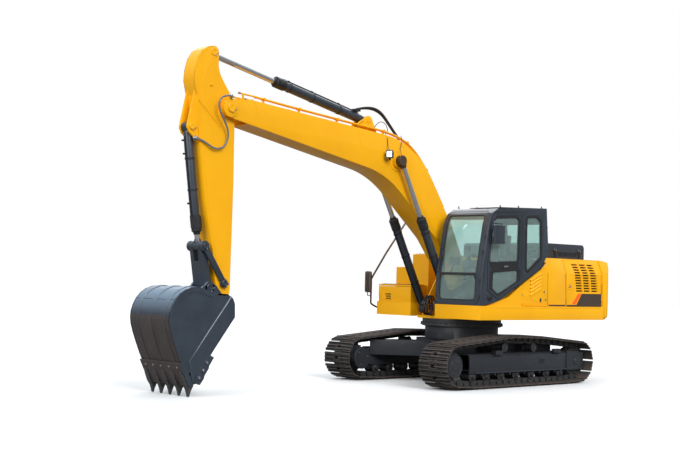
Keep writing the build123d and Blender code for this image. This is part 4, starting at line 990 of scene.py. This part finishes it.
def make_boom_details():
    posts, fittings, block, ring, seams, lamp, shine = (Piece(ARMS) for _ in range(7))
    top = [(5120, 4452), (4900, 4440), (4300, 4376), (3400, 4296), (2500, 4216), (2117, 4186), (1700, 4106),
           (1420, 3960), (1180, 3740), (960, 3470), (760, 3180), (640, 3010)]
    inner = [(4770, 4428)] + top[2:]
    lines = ((128, inner), (172, top), (-128, inner), (-172, top))
    runs = [(14, [(x, y, z) for x, z in line]) for y, line in lines]
    runs += [(14, [(2680, 128, 4232), (2630, 128, 4290), (2540, 122, 4330)])]
    pipes("boom_pipes", runs, YELLOW, "boom", ARMS)
    for side in SIDES:
        y = side * 150
        for x, z in ((4660, 4416), (3950, 4345), (3150, 4273), (2117, 4186), (1560, 4045), (1080, 3620)):
            posts.box((x - 16, y - 12, z - 100), (x + 16, y + 12, z - 8))
            posts.box((x - 18, y - 44, z - 16), (x + 18, y + 44, z + 20))
        posts.box((5064, side * 184 - 12, 4330), (5090, side * 184 + 12, 4446))
        for x, y, z in ((5110, 176, 4452), (4768, 128, 4428)):
            fittings.turned((x, side * y, z), (1, 0, 0.05), ((0, 16), (20, 16), (24, 19), (46, 19)), 6)
        y, out = side * BOOM_HALF, (0, side, 0)
        x, z = BOOM_CYLINDER_HEAD
        ring.turned((x, y, z), out, ((-2, 172), (5, 172), (8, 168), (8, 118), (26, 116)), 48)
        ring.turned((BOOM_TIP[0], y, BOOM_TIP[1]), out, ((-2, 138), (16, 138), (19, 132)), 48)
        for x0, z0, x1, z1 in ((2745, 4168, 2660, 3838), (4880, 4356, 4790, 4118)):
            seams.across([(x0 - 5, z0), (x0 + 5, z0), (x1 + 5, z1), (x1 - 5, z1)], y, y + side * 2.5)
    posts.done("boom_pipe_clamps", YELLOW, "boom", 2)
    fittings.done("boom_pipe_fittings", STEEL, "boom", 1)
    block.box((2580, -14, 4462), (2700, 96, 4500))
    block.rod((2640, 40, 4400), (2640, 40, 4470), 30, 16)
    block.done("arm_cylinder_port_block", BLACK, "boom", 4)
    pipes("arm_cylinder_hoses", [
        (17, [(1690, 70, 4130), (1900, 72, 4330), (2080, 74, 4500), (2260, 76, 4560), (2480, 70, 4545),
              (2640, 60, 4500)]),
        (17, [(1610, 20, 4090), (1830, 20, 4290), (2020, 22, 4470), (2220, 24, 4545), (2450, 20, 4540),
              (2620, 10, 4500)]),
        (6, [(2000, 150, 4170), (2020, 150, 4290), (2160, 150, 4350), (2280, 140, 4270), (2330, 130, 4180)]),
    ], HOSE, "boom", ARMS)
    ring.done("boom_boss_plates", YELLOW, "boom", 1.5)
    seams.done("boom_weld_seams", YELLOW, "boom", 1)
    pipes("boom_grease_lines", [
        (5, [(1845, 338, 3790), (1850, 300, 3860), (1790, 250, 3960), (1740, 238, 4080), (1730, 180, 4140)]),
        (5, [(2075, 300, 3850), (2100, 262, 3890), (2080, 236, 3960), (2090, 232, 4080), (2110, 200, 4140)]),
    ], HOSE, "boom", ARMS)
    turn = Matrix.Translation((2095, 318, 3792)) @ Matrix.Rotation(radians(28), 4, "Z")
    shell, pane = ((-34, -30), (-20, -10), (24, 2), (52, 2), (58, -4)), ((56, -14), (61, -18))
    for piece, steps in ((lamp, shell), (shine, pane)):
        piece.layers(rect(-62, -66, 62, 66, 26, 5), lambda p, x: turn @ Vector((x, *p)), steps)
    lamp.box((2080, BOOM_HALF - 2, 3696), (2112, 320, 3708))
    lamp.box((2080, 300, 3700), (2112, 318, 3745))
    lamp.done("boom_lamp_housing", PLASTIC, "boom", 2, stands_for=("boom_lamp",))
    shine.done("boom_lamp_lens", LENS, "boom", 1)


def make_arm_details():
    sheets, front, ends = (Piece(ARMS) for _ in range(3))
    plate = [
        (5590, 4980), (5660, 4900), (5800, 4560), (5830, 4330), (5780, 3700), (5620, 2820), (5462, 2060),
        (5402, 1760), (5330, 1760), (5235, 2000), (5216, 3100), (5230, 3780), (5300, 4420), (5480, 4700),
        (5560, 4960),
    ]
    nose = [
        (5640, 5092), (5700, 5084), (5806, 5010), (5886, 4890), (5930, 4720), (5940, 4560), (5905, 4420),
        (5880, 4330),
    ]
    for side in SIDES:
        y = side * ARM_HALF
        sheets.across(rounded(plate, 60, 5), y, y + side * 3)
        sheets.turned((5640, y, 4520), (0, side, 0), ((-1, 20), (16, 20), (24, 14)), 20)
        cheek = nose + [(5850, 4330), (5860, 4560), (5850, 4711), (5680, 5060)]
        front.across(cheek, y - side * 18, y - side * 0.5)
    sheets.done("arm_doubler_plates", YELLOW, "arm", 1)
    for x0, z0, x1, z1 in ((5855, 4290, 5440, 3925), (5850, 4262, 5430, 3892)):
        front.across([(x0, z0), (x0 + 6, z0 - 8), (x1 + 6, z1 - 8), (x1, z1)], ARM_HALF - 1, ARM_HALF + 8)
    corners = ((0, -1, 0), (0, 1, 0), (20, 1, 12), (20, -1, 12))
    front.solid([[(x - back, side * ARM_HALF, z - drop) for back, side, drop in corners] for x, z in nose])
    front.done("arm_top_plate", YELLOW, "arm", 3)
    pipes("arm_hose", [(15, [
        (5370, 270, 4381), (5464, 270, 4370), (5547, 268, 4326), (5578, 262, 4237), (5542, 250, 4139),
        (5461, 235, 4028), (5380, 220, 3917), (5346, 210, 3818), (5354, 200, 3714), (5409, 195, 3624),
        (5507, 190, 3581), (5607, 185, 3589), (5706, 178, 3646), (5790, 165, 3690), (5868, 138, 3712),
    ])], HOSE_GREY, "arm", ARMS)
    ends.turned((5340, 270, 4382), (1, 0, -0.05), ((0, 24), (34, 24), (38, 19), (80, 19)), 8)
    ends.turned((5872, 108, 3712), (0, 1, 0), ((0, 40), (10, 40), (12, 26), (44, 26), (48, 20)), 24)
    ends.box((5320, 225, 4350), (5362, 296, 4374))
    ends.done("arm_hose_fittings", STEEL, "arm", 1.5)


BUCKET_OUTSIDE = [
    (5470, 1462), (5640, 1468), (5800, 1500), (5920, 1540), (6030, 1560), (6130, 1552), (6239, 1512),
    (6330, 1452), (6400, 1376), (6452, 1280), (6480, 1190), (6488, 1100), (6474, 1000), (6436, 880),
    (6380, 740), (6310, 580), (6236, 430), (6160, 290), (6100, 178), (6069, 172),
]
BUCKET_MOUTH = [(6003, 188), (5742, 613), (5344, 1129), (5351, 1323), (5384, 1396)]
BUCKET_WALL = 24
SIDE_CUTTER = BUCKET_MOUTH + [(5425, 1435), (5500, 1330), (5800, 950), (6137, 504), (6060, 190)]
CUTTER_TIP = [
    (6030, 205), (5950, 172), (5880, 262), (5872, 300), (5802, 400), (5794, 440), (5712, 560),
    (5790, 592), (6010, 330),
]
BUCKET_EAR = [
    (5290, 1200), (5440, 1330), (5500, 1450), (5800, 1462), (5690, 1570), (5480, 1600), (5250, 1340),
]
WEAR_STRIPS_Y = (-330, 0, 330)
TEETH_Y = (-440, -220, 0, 220, 440)
LIP_BOLTS_Y = (-385, -192, 0, 205, 400)


def make_bucket():
    body, plates, wear, teeth, bolts = (Piece(ARMS) for _ in range(5))
    body.across(BUCKET_OUTSIDE + grown(BUCKET_OUTSIDE, -BUCKET_WALL)[::-1], -BUCKET_HALF, BUCKET_HALF)
    edge = BUCKET_OUTSIDE[1:-1]
    band = edge + grown(edge, -72)[::-1]
    for side in SIDES:
        y, ear, out = side * BUCKET_HALF, side * (ARM_HALF + 8), (0, side, 0)
        body.across(BUCKET_OUTSIDE + BUCKET_MOUTH, y - side * BUCKET_WALL, y)
        plates.across(rounded(BUCKET_EAR, 60, 5), ear, ear + side * 38)
        for pin, radius in ((BUCKET_PIN, 98), (BUCKET_LINK_PIN, 84)):
            plates.turned((pin[0], ear, pin[1]), out, ((0, radius), (38, radius)), 48)
        plates.layers(SIDE_CUTTER, side_at(BUCKET_HALF, side), ((-2, 0), (9, 0), (16, -10)))
        plates.across(band, y - side * 2, y + side * 7)
        plates.across(rounded(CUTTER_TIP, 14, 3), y - side * 4, y + side * 30)
        for x, z in ((5965, 270), (5900, 375), (5835, 480)):
            plates.turned((x, y + side * 28, z), out, ((0, 30), (10, 30), (14, 24)), 20)
            bolts.bolt((x, y + side * 42, z), out, 13, 9)
    lip = [(6296, 486), (6222, 494), (6052, 178), (6068, 150), (6128, 156)]
    plates.across(rounded(lip, 10, 3), -BUCKET_HALF - 12, BUCKET_HALF + 12)
    for y in LIP_BOLTS_Y:
        bolts.bolt((6262, y, 420), (0.9, 0, -0.44), 17, 14)
    for y in WEAR_STRIPS_Y:
        wear.solid([[(a[0], y - 48, a[1]), (a[0], y + 48, a[1]), (b[0], y + 52, b[1]), (b[0], y - 52, b[1])]
                    for a, b in list(zip(grown(BUCKET_OUTSIDE, 9), BUCKET_OUTSIDE))[3:17]])
    for x, z in (BUCKET_OUTSIDE[8], BUCKET_OUTSIDE[11]):
        wear.rod((x - 1, -BUCKET_HALF + 4, z), (x - 1, BUCKET_HALF - 4, z), 6, 8)
    for y in TEETH_Y:
        teeth.solid([
            [(a, y - w, c), (b, y - w, d), (b, y + w, d), (a, y + w, c)] for a, c, b, d, w in (
                (6248, 372, 6180, 380, 8), (6222, 300, 6110, 300, 40), (6176, 196, 6036, 204, 48),
                (6150, 150, 6036, 156, 46), (6130, 120, 6050, 122, 36), (6112, 60, 6070, 62, 27),
                (6102, 6, 6082, 6, 20),
            )
        ])
        bolts.rod((6092, y - 50, 188), (6092, y + 50, 188), 13, 12)
    body.done("bucket_shell", BUCKET, "bucket", 3, 20, stands_for=("bucket",))
    plates.done("bucket_plates", BUCKET, "bucket", 2.5)
    wear.done("bucket_wear_strips", BUCKET, "bucket", 2)
    teeth.done("bucket_tooth_points", WORN, "bucket", 3, stands_for=("bucket_teeth",))
    bolts.done("bucket_bolts", STEEL, "bucket", 1)


# Light, floor and camera

CAMERA_PLACE = (16.5770, 14.9705, 1.7260)
CAMERA_YAW, CAMERA_PITCH, CAMERA_ROLL = -2.3091, 0.0427, -0.0272
CAMERA_LENS = 66.76


def make_camera():
    level = cos(CAMERA_PITCH)
    forward = Vector((level * cos(CAMERA_YAW), level * sin(CAMERA_YAW), sin(CAMERA_PITCH)))
    across = forward.cross(Vector((0, 0, 1))).normalized()
    down = forward.cross(across)
    right = across * cos(CAMERA_ROLL) + down * sin(CAMERA_ROLL)
    up = across * sin(CAMERA_ROLL) - down * cos(CAMERA_ROLL)
    data = bpy.data.cameras.new("camera")
    data.lens = CAMERA_LENS
    data.clip_end = 200
    camera = bpy.data.objects.new("camera", data)
    turn = Matrix((right, up, -forward)).transposed()
    camera.matrix_world = Matrix.Translation(CAMERA_PLACE) @ turn.to_4x4()
    bpy.context.scene.collection.objects.link(camera)
    bpy.context.scene.camera = camera


LAMPS = (
    # name, direction towards the lamp, strength, angle in degrees
    ("key", (0.2, 0.85, 0.55), 2.15, 30),
    ("fill", (0.95, 0.1, 0.4), 1.6, 50),
    ("rim", (-0.6, -0.5, 0.6), 0.9, 50),
)


def make_light():
    for name, towards, strength, angle in LAMPS:
        data = bpy.data.lights.new(name, "SUN")
        data.energy = strength
        data.angle = radians(angle)
        lamp = bpy.data.objects.new(name, data)
        lamp.rotation_euler = Vector(towards).to_track_quat("Z", "Y").to_euler()
        bpy.context.scene.collection.objects.link(lamp)
    world = bpy.data.worlds.new("studio")
    bpy.context.scene.world = world
    m = Nodes(world)
    sky = m.tree.nodes["Background"]
    sky.inputs["Color"].default_value = (0.88, 0.94, 1.0, 1)
    m.join(m.ramp(m.xyz(m.coordinates["Generated"])[2], 0.05, 0.8, 0.3, 1.1), sky.inputs["Strength"])
    white = m.add("ShaderNodeBackground")
    white.inputs["Color"].default_value = (1, 1, 1, 1)
    rays = m.add("ShaderNodeLightPath").outputs
    choose = m.add("ShaderNodeMixShader")
    seen = m.maths("MAXIMUM", rays["Is Camera Ray"], rays["Is Transmission Ray"])
    for source, socket in zip((seen, sky.outputs[0], white.outputs[0]), choose.inputs):
        m.join(source, socket)
    m.join(choose.outputs[0], m.tree.nodes["World Output"].inputs["Surface"])


def make_floor():
    bpy.ops.mesh.primitive_plane_add(size=160)
    floor = bpy.context.object
    floor.name = "floor"
    m = new_material("pale_floor")
    seen = m.mix(m.noise(0.4, 3), (0.80, 0.80, 0.80), (0.78, 0.78, 0.78))
    direct = m.add("ShaderNodeLightPath").outputs["Is Camera Ray"]
    floor.data.materials.append(m.finish(m.mix(direct, (0.16, 0.15, 0.14), seen), Roughness=0.9))


# What each CAD node is finished with

ROUNDED = (
    # material, body or None for a body of the node's own name, (node, edge radius) pairs
    (YELLOW, "house", (
        ("swing_frame", 14), ("body_panels", 8), ("front_side_panel", 4), ("hydraulic_tank", 14),
        ("fuel_tank", 14), ("tool_box", 12))),
    (YELLOW, None, (
        ("tool_box_lid", 8), ("left_front_door", 4), ("left_rear_door", 5), ("right_rear_door", 5),
        ("boom", 7), ("arm", 6))),
    (SLATE, "house", (("cab", 16),)),
    (SLATE, None, (("cab_door", 5),)),
    (SLATE, "cab_door", (("left_mirror", 34),)),
    (HOOD_DARK, None, (("engine_hood", 22),)),
    (SLATE, None, (("idler_links", 9), ("bucket_link", 9))),
    (FRAME_DARK, "undercarriage", (("center_frame", 12),)),
    (ENGINE, "house", (("engine_block", 30), ("control_valves", 16))),
)
PLAIN = (
    (FRAME_DARK, ("final_drives", "slew_ring")),
    (DULL, ("sprockets", "idlers", "bottom_rollers", "hydraulic_pumps", "swing_motor")),
    (RAIL_BROWN, ("right_handrail",)),
    (BLACK, ("radiator",)),
    (GLASS, ("cab_glass", "door_glass")),
)


def finish_nodes():
    for material, body, nodes in ROUNDED:
        for node, width in nodes:
            softened(node, width, material, body or node)
    softened("counterweight", 22, YELLOW, "house", chamfers=(
        (185, lambda p: p.z > HOOD_Z - 1 and p.x < TAIL_CORNER_X
         and abs(abs(p.y) - LIFTING_Y) + abs(p.x - LIFTING_X) > 80),
        (60, lambda p: p.z < DECK_BOTTOM + 1 and p.x < TAIL_CORNER_X),
    ))
    frame_top = UNDER.inverted()
    softened("track_frames", 8, FRAME_DARK, "undercarriage", chamfers=(
        (62, lambda p: p.z > 555 and abs((frame_top @ p).y) > GAUGE / 2 + 150),
    ))
    for material, names in PLAIN:
        for name in names:
            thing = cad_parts[name]
            thing.data.materials.clear()
            thing.data.materials.append(material)


for make in (
    finish_nodes, make_tracks, make_running_gear, make_slew_details, make_cab_trim, make_cab_fittings,
    make_cab_inside, make_side_trim, make_hood_trim, make_right_side, make_hoses, make_pin_caps,
    make_cylinders, make_boom_details, make_arm_details, make_bucket, make_camera, make_light, make_floor,
):
    make()
bpy.context.scene.view_settings.view_transform = "Standard"
